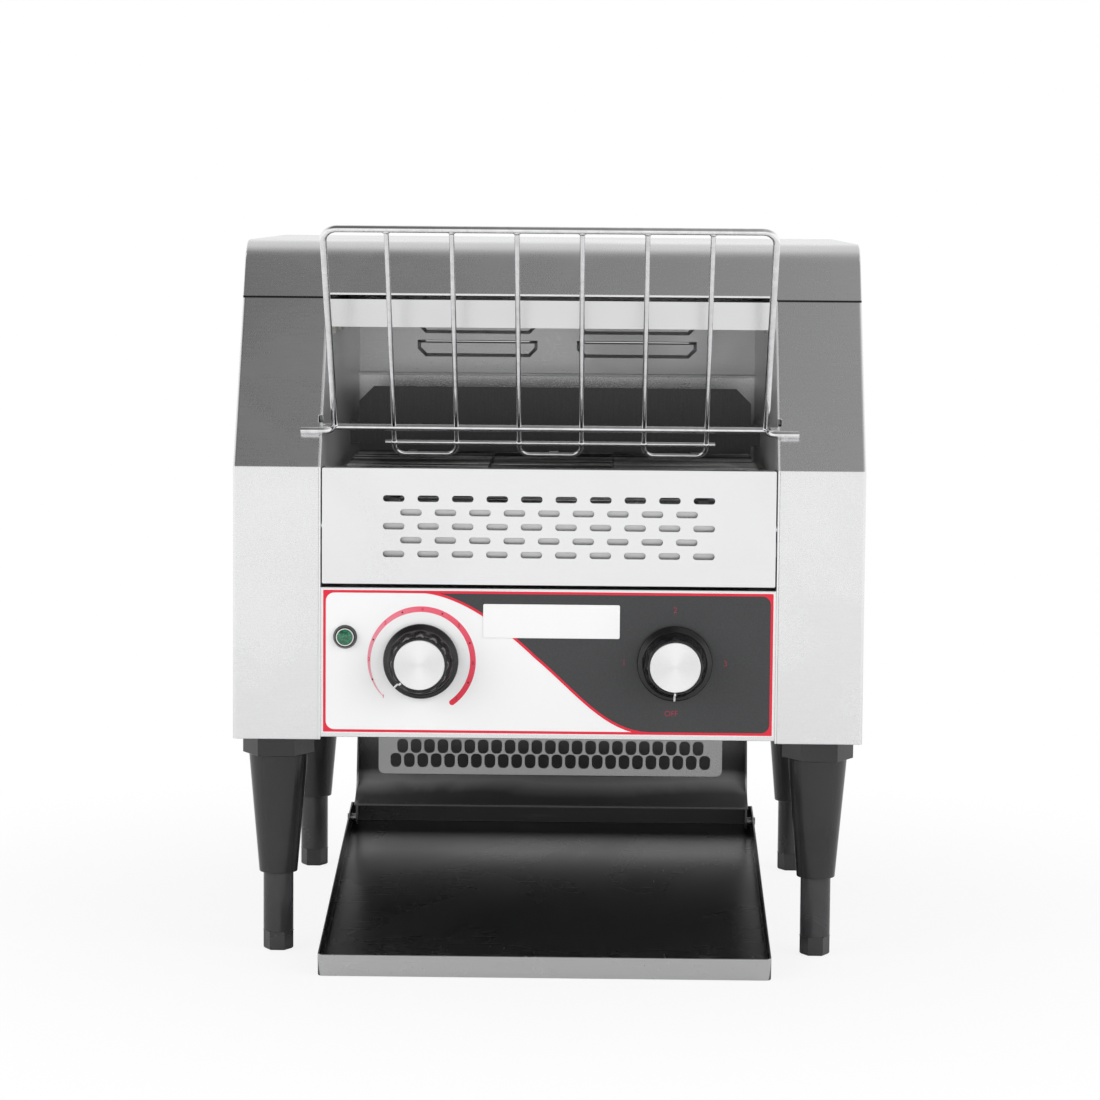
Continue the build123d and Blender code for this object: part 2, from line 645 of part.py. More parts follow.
def control_bodies():
    """Regulator behind the colour knob and rotary switch behind the selector knob."""
    for name, x, length in (
        ("colour_regulator", -KNOB_X, REGULATOR_LENGTH),
        ("selector_switch", KNOB_X, SWITCH_LENGTH),
    ):
        with BuildPart() as body:
            with BuildSketch(upright(FRONT_Y + SHEET)):
                with Locations((x, KNOB_Z)):
                    if x < 0:
                        Rectangle(REGULATOR_SIZE, REGULATOR_SIZE)
                    else:
                        RegularPolygon(SWITCH_RADIUS, 8)
            extrude(amount=-length)
            with BuildSketch(upright(FRONT_Y + SHEET)):
                with Locations((x, KNOB_Z)):
                    Circle(NECK_RADIUS)
            extrude(amount=SHEET + OVERLAY)
            with BuildSketch(upright(FRONT_Y - OVERLAY)):
                with Locations((x, KNOB_Z)):
                    Circle(SPINDLE_RADIUS + RUNNING_CLEARANCE)
            extrude(amount=-(OVERLAY + SPINDLE_TAIL + SEAT_GAP), mode=Mode.SUBTRACT)
        save(body, name)


def indicator_lamp():
    """Dark bezel with a neck through the panel, and its domed green lens."""
    face_y = FRONT_Y - OVERLAY
    axis = Axis((LAMP_X, 0, LAMP_Z), (0, 1, 0))
    with BuildPart() as bezel:
        with BuildSketch(Plane.XY.offset(LAMP_Z)):
            with BuildLine():
                Polyline(
                    (LAMP_X, face_y + LAMP_NECK_LENGTH),
                    (LAMP_X + LAMP_NECK_RADIUS, face_y + LAMP_NECK_LENGTH),
                    (LAMP_X + LAMP_NECK_RADIUS, face_y),
                    (LAMP_X + LAMP_BEZEL_RADIUS, face_y),
                    (LAMP_X + LAMP_BEZEL_RADIUS - LAMP_DOME, face_y - LAMP_BEZEL_HEIGHT),
                    (LAMP_X + LAMP_LENS_RADIUS, face_y - LAMP_BEZEL_HEIGHT),
                    (LAMP_X + LAMP_LENS_RADIUS, face_y - LAMP_BEZEL_HEIGHT + LAMP_LENS_DEPTH),
                    (LAMP_X, face_y - LAMP_BEZEL_HEIGHT + LAMP_LENS_DEPTH),
                    close=True,
                )
            make_face()
        revolve(axis=axis)
    save(bezel, "lamp_bezel")
    with BuildPart() as lens:
        with BuildSketch(Plane.XY.offset(LAMP_Z)):
            with BuildLine():
                floor = Line(
                    (LAMP_X, face_y - LAMP_BEZEL_HEIGHT + LAMP_LENS_DEPTH),
                    (LAMP_X + LAMP_LENS_RADIUS, face_y - LAMP_BEZEL_HEIGHT + LAMP_LENS_DEPTH),
                )
                wall = Line(floor @ 1, (LAMP_X + LAMP_LENS_RADIUS, face_y - LAMP_BEZEL_HEIGHT))
                crown = (LAMP_X, face_y - LAMP_BEZEL_HEIGHT - LAMP_DOME)
                RadiusArc(wall @ 1, crown, dome_radius(LAMP_LENS_RADIUS, LAMP_DOME))
                Line(crown, floor @ 0)
            make_face()
        revolve(axis=axis)
    save(lens, "lamp_lens")


def dome_radius(half_width, height):
    """Radius of the arc that rises by height over half_width."""
    return (half_width**2 + height**2) / (2 * height)


def reflectors():
    """Polished sheet over the upper tubes, with a deep front edge, and one under the belt."""
    top = SEAM_Z - REFLECTOR_GAP
    with BuildPart() as upper:
        with BuildSketch(sideways(-CHAMBER_X)):
            middle = (back((REFLECTOR_FRONT + REFLECTOR_REAR) / 2), top - REFLECTOR_DROP / 2)
            length = REFLECTOR_REAR - REFLECTOR_FRONT
            with Locations(middle):
                Rectangle(length, REFLECTOR_DROP)
            with Locations((middle[0], middle[1] - SHEET)):
                Rectangle(length - 2 * SHEET, REFLECTOR_DROP, mode=Mode.SUBTRACT)
        extrude(amount=2 * CHAMBER_X)
    save(upper, "upper_reflector")
    with BuildPart() as lower:
        with BuildSketch(sideways(-CHAMBER_X)):
            with Locations((back((LOWER_REFLECTOR_FRONT + LOWER_REFLECTOR_REAR) / 2), LOWER_REFLECTOR_Z)):
                Rectangle(LOWER_REFLECTOR_REAR - LOWER_REFLECTOR_FRONT, SHEET)
            for depth in (LOWER_REFLECTOR_FRONT, LOWER_REFLECTOR_REAR - SHEET):
                with Locations((back(depth + SHEET / 2), LOWER_REFLECTOR_Z + LOWER_REFLECTOR_LIP / 2)):
                    Rectangle(SHEET, LOWER_REFLECTOR_LIP + SHEET)
        extrude(amount=2 * CHAMBER_X)
    save(lower, "lower_reflector")


def heating_tubes():
    """Three heating tubes above the belt and three inside it, each between two ceramic holders."""
    tube_end = CHAMBER_X - HOLDER_FLANGE_THICKNESS
    for number, (y, z) in enumerate(tube_points()):
        row = "upper" if number < TUBES_IN_ROW else "lower"
        place = number % TUBES_IN_ROW + 1
        with BuildPart() as tube:
            with BuildSketch(sideways(-tube_end)):
                with Locations((y, z)):
                    Circle(TUBE_RADIUS)
            extrude(amount=2 * tube_end)
        save(tube, f"{row}_heating_tube_{place}")
    with BuildPart() as holders:
        for _, sign in SIDES:
            for size, start, length in (
                (HOLDER_FLANGE, CHAMBER_X - HOLDER_FLANGE_THICKNESS, HOLDER_FLANGE_THICKNESS),
                (HOLDER_SIZE, CHAMBER_X, WALL + HOLDER_TAIL),
            ):
                with BuildSketch(sideways(sign * start)):
                    with Locations(*tube_points()):
                        Rectangle(size, size)
                extrude(amount=sign * length)
    save(holders, "ceramic_tube_holders")


def belt_shafts():
    """Idler shaft at the front and drive shaft at the rear, with their bushes and sprockets."""
    left_end = -(HOUSING_X + BUSH_TAIL + SHAFT_TAIL)
    ends = {"idler": -left_end, "drive": CHAIN_X + CHAIN_WHEEL_WIDTH / 2 + SHAFT_TAIL}
    depths = {"idler": BELT_FRONT, "drive": BELT_REAR}
    for name, depth in depths.items():
        with BuildPart() as shaft:
            with BuildSketch(sideways(left_end)):
                with Locations((back(depth), BELT_AXIS_Z)):
                    Circle(SHAFT_RADIUS)
            extrude(amount=ends[name] - left_end)
        save(shaft, f"{name}_shaft")
        with BuildPart() as sprockets:
            for x, phase in ((-SPROCKET_X, 0.0), (0.0, BELT_STEP), (SPROCKET_X, 0.0)):
                sprocket(x, depth, phase)
        save(sprockets, f"{name}_sprockets")
    with BuildPart() as bushes:
        for _, sign in SIDES:
            for radius, start, length in (
                (BUSH_FLANGE_RADIUS, CHAMBER_X - BUSH_FLANGE, BUSH_FLANGE),
                (BUSH_RADIUS, CHAMBER_X, WALL + BUSH_TAIL),
            ):
                with BuildSketch(sideways(sign * start)):
                    with Locations((back(BELT_FRONT), BELT_AXIS_Z), (back(BELT_REAR), BELT_AXIS_Z)):
                        RegularPolygon(radius, 6)
                        flat_bore(SHAFT_RADIUS + RUNNING_CLEARANCE, 8)
                extrude(amount=sign * length)
    save(bushes, "shaft_bushes")


def sprocket(x, depth, phase):
    """Add one belt sprocket with a notch for each strand that lies on it."""
    notch = STRAND_RADIUS + NOTCH_CLEARANCE
    start = 90 - phase * 360 / BELT_TEETH
    with BuildSketch(sideways(x - SPROCKET_WIDTH / 2)) as disc:
        with Locations((back(depth), BELT_AXIS_Z)):
            toothed_disc(BELT_PITCH, BELT_TEETH, SPROCKET_TIP, notch, start)
            flat_bore(SHAFT_RADIUS, 6)
    extrude(disc.sketch, amount=SPROCKET_WIDTH)


def flat_bore(radius, sides):
    """Cut a bore whose flats touch a shaft of this radius, in the sketch being drawn."""
    RegularPolygon(radius, sides, major_radius=False, mode=Mode.SUBTRACT)


def toothed_disc(pitch, teeth, tip, notch, start):
    """Draw a wheel with flat tooth tips; its notches sit on the pitch circle and open outward."""
    radius = pitch / 2 / sin(pi / teeth)
    deep = notch + tip + pitch / teeth
    mouth = 2 * (notch + deep * tan(TOOTH_SLOPE * pi / 180))
    RegularPolygon(radius + tip, teeth, major_radius=False, rotation=start + 180 / teeth)
    with PolarLocations(radius - notch + deep / 2, teeth, start_angle=start):
        Trapezoid(mouth, deep, 90 - TOOTH_SLOPE, rotation=90, mode=Mode.SUBTRACT)


def conveyor_belt():
    """Flat wire belt: each strand runs across and steps over at two places to hook its neighbour."""
    places = ((-BELT_HALF, 0), (-BELT_JOG_X, 0), (-BELT_JOG_X, BELT_STEP))
    places = places + tuple((-x, step) for x, step in reversed(places))
    with BuildPart() as belt:
        for strand in range(2 * BELT_RUN + BELT_TEETH):
            points = []
            for x, step in places:
                y, z = loop_point(
                    back(BELT_FRONT), BELT_AXIS_Z, 0, BELT_PITCH, BELT_TEETH, BELT_RUN, strand + step
                )
                points.append((x, y, z))
            with BuildLine() as route:
                Polyline(*points)
            with BuildSketch(Plane(origin=points[0], z_dir=(1, 0, 0))):
                RegularPolygon(STRAND_RADIUS, STRAND_SIDES)
            sweep(path=route.wire(), transition=Transition.RIGHT)
    save(belt, "conveyor_belt")


def motor_axis():
    """Y and Z of the motor's output shaft."""
    reach = CHAIN_RUN * CHAIN_PITCH
    angle = CHAIN_ANGLE * pi / 180
    return back(BELT_REAR) - reach * cos(angle), BELT_AXIS_Z - reach * sin(angle)


def gear_motor():
    """Flat geared motor on the right wall, its output shaft, both chain wheels and the chain."""
    motor_y, motor_z = motor_axis()
    with BuildPart() as motor:
        with BuildSketch(sideways(HOUSING_X)):
            with Locations((motor_y, motor_z - MOTOR_DROP)):
                Circle(MOTOR_RADIUS)
        extrude(amount=MOTOR_LENGTH)
        with BuildSketch(sideways(HOUSING_X + MOTOR_LENGTH)):
            with Locations((motor_y, motor_z)):
                Circle(GEARBOX_RADIUS)
        extrude(amount=GEARBOX_LENGTH)
        with BuildSketch(sideways(GEARBOX_FACE_X)):
            with Locations((motor_y, motor_z)):
                Circle(MOTOR_SHAFT_RADIUS + RUNNING_CLEARANCE)
        extrude(amount=-MOTOR_SHAFT_SOCKET - SEAT_GAP, mode=Mode.SUBTRACT)
    save(motor, "gear_motor")
    shaft_end = CHAIN_X + CHAIN_WHEEL_WIDTH / 2 + SHAFT_TAIL
    with BuildPart() as shaft:
        with BuildSketch(sideways(GEARBOX_FACE_X - MOTOR_SHAFT_SOCKET)):
            with Locations((motor_y, motor_z)):
                Circle(MOTOR_SHAFT_RADIUS)
        extrude(amount=shaft_end - GEARBOX_FACE_X + MOTOR_SHAFT_SOCKET)
    save(shaft, "motor_shaft")
    for name, y, z, bore in (
        ("motor_chain_wheel", motor_y, motor_z, MOTOR_SHAFT_RADIUS),
        ("drive_chain_wheel", back(BELT_REAR), BELT_AXIS_Z, SHAFT_RADIUS),
    ):
        with BuildPart() as wheel:
            chain_wheel(y, z, bore)
        save(wheel, name)
    drive_chain()


def chain_wheel(y, z, bore):
    """Add a toothed chain wheel with its hub, centred on the chain's plane."""
    notch = LINK_PIN_RADIUS + NOTCH_CLEARANCE
    with BuildSketch(sideways(CHAIN_X - CHAIN_WHEEL_WIDTH / 2)) as disc:
        with Locations((y, z)):
            toothed_disc(CHAIN_PITCH, CHAIN_TEETH, CHAIN_TIP, notch, 90 + CHAIN_ANGLE)
            flat_bore(bore, 6)
    extrude(disc.sketch, amount=CHAIN_WHEEL_WIDTH)
    with BuildSketch(sideways(CHAIN_X - CHAIN_WHEEL_WIDTH / 2)) as hub:
        with Locations((y, z)):
            RegularPolygon(CHAIN_HUB_RADIUS, 6)
            flat_bore(bore, 6)
    extrude(hub.sketch, amount=-CHAIN_HUB_LENGTH)


def drive_chain():
    """Roller chain from motor to drive shaft: inner links with rollers, outer plates between."""
    motor_y, motor_z = motor_axis()
    angle = CHAIN_ANGLE * pi / 180
    stations = [
        loop_point(motor_y, motor_z, angle, CHAIN_PITCH, CHAIN_TEETH, CHAIN_RUN, place)
        for place in range(2 * CHAIN_RUN + CHAIN_TEETH)
    ]
    with BuildPart() as chain:
        for number, (y, z) in enumerate(stations):
            next_y, next_z = stations[(number + 1) % len(stations)]
            inner = number % 2 == 0
            near = CHAIN_GAP / 2 if inner else CHAIN_GAP / 2 + LINK_PLATE + LINK_PLAY
            turn = Vector(next_y - y, next_z - z).get_signed_angle(Vector(1, 0), Vector(0, 0, -1))
            for _, sign in SIDES:
                with BuildSketch(sideways(CHAIN_X + sign * near)):
                    with Locations(Location(((y + next_y) / 2, (z + next_z) / 2), turn)):
                        link_plate()
                extrude(amount=sign * LINK_PLATE)
            if inner:
                with BuildSketch(sideways(CHAIN_X - CHAIN_GAP / 2)):
                    with Locations((y, z), (next_y, next_z)):
                        RegularPolygon(LINK_PIN_RADIUS, 4)
                extrude(amount=CHAIN_GAP)
    save(chain, "drive_chain")


def link_plate():
    """Outline of one chain plate, ends cut to a point round the pins."""
    half = CHAIN_PITCH / 2
    end = half + LINK_HEIGHT / 2
    Polygon(
        (-half, -LINK_HEIGHT / 2),
        (half, -LINK_HEIGHT / 2),
        (end, 0),
        (half, LINK_HEIGHT / 2),
        (-half, LINK_HEIGHT / 2),
        (-end, 0),
    )


def exit_guard():
    """Hanging guard with two rows of upright six-sided holes in front of the toast exit."""
    with BuildPart() as guard:
        with BuildSketch(upright(back(BOX_DEPTH))) as outline:
            with Locations((0, (GUARD_BOTTOM + GUARD_TOP) / 2)):
                Rectangle(2 * GUARD_HALF, GUARD_TOP - GUARD_BOTTOM)
            fillet(outline.vertices().group_by(Axis.Y)[0], radius=GUARD_CORNER)
            with Locations((0, GUARD_FIRST_Z)):
                with GridLocations(GUARD_PITCH, 1, GUARD_HOLES, 1):
                    guard_hole()
            with Locations((0, GUARD_FIRST_Z + GUARD_ROW_PITCH)):
                with GridLocations(GUARD_PITCH, 1, GUARD_HOLES - 1, 1):
                    guard_hole()
        extrude(amount=-SHEET)
    save(guard, "exit_guard")


def guard_hole():
    """One upright six-sided hole, cut from the sketch being drawn."""
    half = GUARD_HOLE_WIDTH / 2
    tip = GUARD_HOLE_HEIGHT / 2
    side = GUARD_HOLE_SIDE / 2
    Polygon(
        (half, -side),
        (half, side),
        (0, tip),
        (-half, side),
        (-half, -side),
        (0, -tip),
        mode=Mode.SUBTRACT,
    )


def tray_plane():
    """Plane of the sloping tray's underside, from the middle of its front edge."""
    slope = tray_slope()
    return Plane(origin=(0, back(-TRAY_FRONT), 0), x_dir=(1, 0, 0), z_dir=(0, -sin(slope), cos(slope)))


def tray_slope():
    """Angle of the tray's floor."""
    return atan(TRAY_RISE / sqrt(TRAY_LENGTH**2 - TRAY_RISE**2))


def tray_pivot():
    """Y and Z of the studs that the tray hangs on."""
    point = tray_plane().from_local_coords(Vector(0, TRAY_LENGTH - PIVOT_FROM_REAR, PIVOT_ABOVE))
    return point.Y, point.Z


def toast_chute():
    """Sheet behind the belt that turns the toast down and forward onto the tray."""
    pivot_y, pivot_z = tray_pivot()
    with BuildPart() as chute:
        with BuildSketch(sideways(-CHUTE_HALF)):
            with BuildLine():
                drop = Line((back(CHUTE_DEPTH), CHUTE_TOP), (back(CHUTE_DEPTH), CHUTE_BEND_Z))
                bend = TangentArc(drop @ 1, (back(CHUTE_END[0]), CHUTE_END[1]), tangent=(0, -1))
                offset(drop + bend, amount=SHEET, side=Side.LEFT)
            make_face()
        extrude(amount=2 * CHUTE_HALF)
        top_corners = chute.edges().filter_by(Axis.Y).group_by(Axis.Z)[-1]
        chamfer(top_corners, length=CHUTE_CORNER)
        for _, sign in SIDES:
            with BuildSketch(sideways(sign * CHUTE_HALF)):
                with Locations((pivot_y, pivot_z)):
                    Circle(CHEEK_RADIUS)
                with Locations((back(CHUTE_DEPTH + CHEEK_BACK / 2), (CHEEK_TOP + CHEEK_ROOT) / 2)):
                    Rectangle(CHEEK_BACK, CHEEK_TOP - CHEEK_ROOT)
                make_hull()
            extrude(amount=-sign * SHEET)
            with BuildSketch(upright(back(CHUTE_DEPTH))):
                with Locations(*[(sign * (CHUTE_HALF + CHAMBER_X) / 2, z) for z in CHUTE_EAR_ZS]):
                    Rectangle(CHAMBER_X - CHUTE_HALF, CHUTE_EAR)
            extrude(amount=-SHEET)
    save(chute, "toast_chute")
    with BuildPart() as pivots:
        stem_end = TRAY_HALF + PIVOT_TAIL
        for _, sign in SIDES:
            with BuildSketch(sideways(sign * CHUTE_HALF)):
                with Locations((pivot_y, pivot_z)):
                    Circle(PIVOT_RADIUS)
            extrude(amount=sign * (stem_end - CHUTE_HALF))
    save(pivots, "tray_pivot_studs")


def toast_tray():
    """Sloping pan with turned-up edges, pivoted at the back and resting on its front edge."""
    floor_plane = tray_plane()
    pivot_y, pivot_z = tray_pivot()
    with BuildPart() as tray:
        for inset, mode in ((0.0, Mode.ADD), (TRAY_SHEET, Mode.SUBTRACT)):
            with BuildSketch(floor_plane.offset(inset)) as outline:
                with Locations((0, TRAY_LENGTH / 2)):
                    Rectangle(2 * (TRAY_HALF - inset), TRAY_LENGTH - 2 * inset)
                fillet(outline.vertices().group_by(Axis.Y)[0], radius=TRAY_CORNER - inset)
            extrude(amount=TRAY_FLANGE, mode=mode)
        with BuildSketch(sideways(-TRAY_HALF)):
            with Locations((pivot_y, pivot_z)):
                Circle(PIVOT_RADIUS + RUNNING_CLEARANCE)
        extrude(amount=2 * TRAY_HALF, mode=Mode.SUBTRACT)
    save(tray, "toast_tray")


def legs():
    """Four plastic legs with a six-sided collar, and the feet that screw out of them."""
    for side, sign in SIDES:
        for end, (x, y) in zip(("front", "rear"), leg_points(sign)):
            with BuildPart() as leg:
                with BuildSketch(Plane.XY.offset(BODY_BOTTOM)):
                    with Locations((x, y)):
                        RegularPolygon(COLLAR_RADIUS, 6)
                extrude(amount=-COLLAR_HEIGHT)
                with Locations((x, y, CONE_END_Z)):
                    Cone(
                        CONE_END_RADIUS,
                        CONE_TOP_RADIUS,
                        BODY_BOTTOM - COLLAR_HEIGHT - CONE_END_Z,
                        align=(Align.CENTER, Align.CENTER, Align.MIN),
                    )
                with BuildSketch(Plane.XY.offset(CONE_END_Z)):
                    with Locations((x, y)):
                        Circle(STEM_RADIUS + STEM_CLEARANCE)
                extrude(amount=STEM_BORE_TOP - CONE_END_Z, mode=Mode.SUBTRACT)
            save(leg, f"{end}_{side}_leg")
            with BuildPart() as foot:
                with BuildSketch(Plane.XY):
                    with Locations((x, y)):
                        RegularPolygon(FOOT_RADIUS, 6)
                extrude(amount=FOOT_HEIGHT)
                chamfer(foot.faces().sort_by(Axis.Z)[0].edges(), length=FOOT_CHAMFER)
                with BuildSketch(Plane.XY.offset(FOOT_HEIGHT)):
                    with Locations((x, y)):
                        Circle(STEM_RADIUS)
                extrude(amount=STEM_TOP - FOOT_HEIGHT)
            save(foot, f"{end}_{side}_foot")


def bread_rack():
    """Welded wire rack that leans over the belt's front and rests in slots of the walls."""
    seat_y, seat_z = rack_seat()
    top_y = back(RACK_WIRE / 2 - RACK_REACH)
    lean = atan((seat_y - top_y) / (RACK_TOP_Z - seat_z))
    length = (RACK_TOP_Z - seat_z) / cos(lean)
    sheet = Plane(origin=(0, seat_y, seat_z), x_dir=(1, 0, 0), z_dir=(0, -cos(lean), -sin(lean)))
    stop_y = lean_y(RACK_STOP_Z, -RACK_WIRE / 2 - SEAT_GAP)
    with BuildPart() as rack:
        with BuildLine(sheet) as frame:
            FilletPolyline(
                (-RACK_FOOT_HALF, 0),
                (-RACK_TOP_HALF, length),
                (RACK_TOP_HALF, length),
                (RACK_FOOT_HALF, 0),
                radius=RACK_CORNER,
            )
        wire_along(frame.wire(), RACK_WIRE)
        with BuildLine(sheet) as cross:
            Line((-RACK_PIN_END, 0), (RACK_PIN_END, 0))
        wire_along(cross.wire(), RACK_WIRE)
        with BuildLine(sheet) as bar:
            Line((-THIN_BAR_HALF, -THIN_BAR_DROP), (THIN_BAR_HALF, -THIN_BAR_DROP))
        wire_along(bar.wire(), THIN_WIRE)
        for pair in range(THIN_COUNT // 2):
            left = (2 * pair - (THIN_COUNT - 1) / 2) * THIN_PITCH
            right = left + THIN_PITCH
            with BuildLine(sheet) as loop:
                FilletPolyline(
                    (left, length),
                    (left, -LOOP_DROP),
                    (right, -LOOP_DROP),
                    (right, length),
                    radius=LOOP_CORNER,
                )
            wire_along(loop.wire(), THIN_WIRE)
        for _, sign in SIDES:
            with BuildLine() as stop:
                FilletPolyline(
                    (sign * RACK_STOP_X, seat_y, seat_z),
                    (sign * RACK_STOP_X, stop_y, RACK_STOP_Z),
                    (sign * RACK_STOP_END, stop_y, RACK_STOP_Z),
                    radius=RACK_WIRE,
                )
            wire_along(stop.wire(), RACK_WIRE)
    save(rack, "bread_rack")


def wire_along(route, diameter):
    """Add a six-sided wire along a route."""
    with BuildSketch(Plane(origin=route @ 0, z_dir=route % 0)) as section:
        RegularPolygon(diameter / 2, WIRE_SIDES)
    sweep(section.sketch, path=route)


def electrics():
    """Terminal block inside the left housing and the cord gland through its back."""
    width, length, height = TERMINAL_SIZE
    pitch = length / TERMINAL_WAYS
    with BuildPart() as block:
        with BuildSketch(sideways(-HOUSING_X)):
            with Locations((back(TERMINAL_DEPTH), TERMINAL_Z)):
                Rectangle(length, height)
        extrude(amount=-width)
        with BuildSketch(sideways(-HOUSING_X - width)):
            with Locations((back(TERMINAL_DEPTH), TERMINAL_Z)):
                with GridLocations(pitch, height / 2, TERMINAL_WAYS, 2):
                    Rectangle(pitch / 3, pitch / 3)
        extrude(amount=TERMINAL_WELL, mode=Mode.SUBTRACT)
    save(block, "terminal_block")
    tail_y = REAR_Y - SHEET - GLAND_TAIL
    end_y = REAR_Y + GLAND_REACH
    with BuildPart() as gland:
        with BuildSketch(upright(REAR_Y)):
            with Locations((-LEG_X, GLAND_Z)):
                RegularPolygon(GLAND_HEX, 6)
        extrude(amount=-GLAND_HEX_THICKNESS)
        with BuildSketch(upright(tail_y)):
            with Locations((-LEG_X, GLAND_Z)):
                Circle(GLAND_THREAD_RADIUS)
        extrude(amount=tail_y - end_y)
        chamfer(gland.edges().sort_by(Axis.Y)[-1], length=(GLAND_THREAD_RADIUS - GLAND_BORE_RADIUS) / 2)
        with BuildSketch(upright(tail_y)):
            with Locations((-LEG_X, GLAND_Z)):
                Circle(GLAND_BORE_RADIUS)
        extrude(amount=tail_y - end_y, mode=Mode.SUBTRACT)
    save(gland, "cord_gland")
    with BuildPart() as nut:
        with BuildSketch(upright(REAR_Y - SHEET)):
            with Locations((-LEG_X, GLAND_Z)):
                RegularPolygon(GLAND_HEX, 6)
                Circle(GLAND_THREAD_RADIUS + THREAD_CLEARANCE, mode=Mode.SUBTRACT)
        extrude(amount=GLAND_NUT_THICKNESS)
    save(nut, "cord_gland_nut")


side_housings()
chamber_walls()
base_plates()
top_cover()
rear_panels()
front_panel()
control_box()
control_overlay()
knob("colour", -KNOB_X, COLOUR_POINTER)
knob("selector", KNOB_X, SELECTOR_POINTER)
control_bodies()
indicator_lamp()
reflectors()
heating_tubes()
belt_shafts()
conveyor_belt()
gear_motor()
exit_guard()
toast_chute()
toast_tray()
legs()
bread_rack()
electrics()
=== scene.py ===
from math import atan, cos, pi, radians, sin, sqrt, tan

import bmesh
import bpy
from mathutils import Matrix, Vector


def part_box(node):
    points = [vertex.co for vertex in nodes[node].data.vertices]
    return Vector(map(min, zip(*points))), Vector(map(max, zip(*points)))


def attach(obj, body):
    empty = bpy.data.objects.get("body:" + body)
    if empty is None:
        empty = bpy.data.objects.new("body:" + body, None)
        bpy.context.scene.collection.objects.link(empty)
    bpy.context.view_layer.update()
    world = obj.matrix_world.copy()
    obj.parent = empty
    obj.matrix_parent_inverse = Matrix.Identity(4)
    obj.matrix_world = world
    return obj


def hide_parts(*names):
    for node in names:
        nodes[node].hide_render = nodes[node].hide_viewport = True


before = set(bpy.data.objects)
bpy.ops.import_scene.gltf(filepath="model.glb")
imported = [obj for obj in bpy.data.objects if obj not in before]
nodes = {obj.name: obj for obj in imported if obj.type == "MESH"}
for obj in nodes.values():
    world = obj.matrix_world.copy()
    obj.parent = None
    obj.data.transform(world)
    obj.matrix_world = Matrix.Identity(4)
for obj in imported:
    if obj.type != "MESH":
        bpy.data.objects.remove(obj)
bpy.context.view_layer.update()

BODY = "toaster"
MM = 0.001


# ---- node helpers
def new_group(name, inputs, outputs):
    """Empty shader node group with named sockets."""
    group = bpy.data.node_groups.new(name, "ShaderNodeTree")
    for label, kind, default in inputs:
        socket = group.interface.new_socket(name=label, in_out="INPUT", socket_type=kind)
        if default is not None:
            socket.default_value = default
    for label, kind in outputs:
        group.interface.new_socket(name=label, in_out="OUTPUT", socket_type=kind)
    return group, group.nodes.new("NodeGroupInput"), group.nodes.new("NodeGroupOutput")


def feed(socket, value):
    """Link an output into an input socket, or set the input to a number, vector or colour."""
    if isinstance(value, bpy.types.NodeSocket):
        socket.id_data.links.new(value, socket)
    else:
        socket.default_value = value


def operation_node(tree, kind, operation, a, b=None):
    """Math or Vector Math node; a and b are sockets or values."""
    node = tree.nodes.new(kind)
    node.operation = operation
    feed(node.inputs[0], a)
    if b is not None:
        feed(node.inputs[1], b)
    return node


def math_node(tree, operation, a, b=None, clamp=False):
    """Math node. Returns its output socket, as the next six do."""
    node = operation_node(tree, "ShaderNodeMath", operation, a, b)
    node.use_clamp = clamp
    return node.outputs[0]


def times(tree, a, b, clamp=False):
    """Product of two values."""
    return math_node(tree, "MULTIPLY", a, b, clamp)


def plus(tree, a, b, clamp=False):
    """Sum of two values."""
    return math_node(tree, "ADD", a, b, clamp)


def stretched(tree, vector, scale):
    """Vector multiplied by a scale, which is a socket or three numbers."""
    return operation_node(tree, "ShaderNodeVectorMath", "MULTIPLY", vector, scale).outputs[0]


def map_range(tree, value, low, high, to_low=0.0, to_high=1.0, smooth=False):
    """Map Range node."""
    node = tree.nodes.new("ShaderNodeMapRange")
    node.interpolation_type = "SMOOTHSTEP" if smooth else "LINEAR"
    labels = ("Value", "From Min", "From Max", "To Min", "To Max")
    for label, number in zip(labels, (value, low, high, to_low, to_high)):
        feed(node.inputs[label], number)
    return node.outputs["Result"]


def mix_colour(tree, factor, a, b, blend="MIX"):
    """Colour mix; a and b are sockets or colours."""
    node = tree.nodes.new("ShaderNodeMix")
    node.data_type = "RGBA"
    node.blend_type = blend
    for index, value in ((0, factor), (6, a), (7, b)):
        feed(node.inputs[index], (*value, 1.0) if isinstance(value, tuple) else value)
    return node.outputs[2]


def noise(tree, vector, scale, detail=2.0, rough=0.5, distortion=0.0):
    """Noise Texture; scale is a socket or a number."""
    node = tree.nodes.new("ShaderNodeTexNoise")
    labels = ("Vector", "Scale", "Detail", "Roughness", "Distortion")
    for label, value in zip(labels, (vector, scale, detail, rough, distortion)):
        feed(node.inputs[label], value)
    return node.outputs["Fac"]


def colour_ramp(tree, value, first, last, between):
    """Colour ramp with stops between its ends. Returns its colour socket."""
    ramp = tree.nodes.new("ShaderNodeValToRGB")
    stops = ramp.color_ramp.elements
    stops[0].color = (*first, 1)
    stops[1].color = (*last, 1)
    for place, colour in between:
        stops.new(place).color = (*colour, 1)
    tree.links.new(value, ramp.inputs["Fac"])
    return ramp.outputs["Color"]


def place_vector(tree):
    """Object coordinates, which are the toaster's own metres."""
    return tree.nodes.new("ShaderNodeTexCoord").outputs["Object"]


def place_axes(tree):
    """Object coordinates as outputs named X, Y and Z."""
    parts = tree.nodes.new("ShaderNodeSeparateXYZ")
    tree.links.new(place_vector(tree), parts.inputs[0])
    return parts.outputs


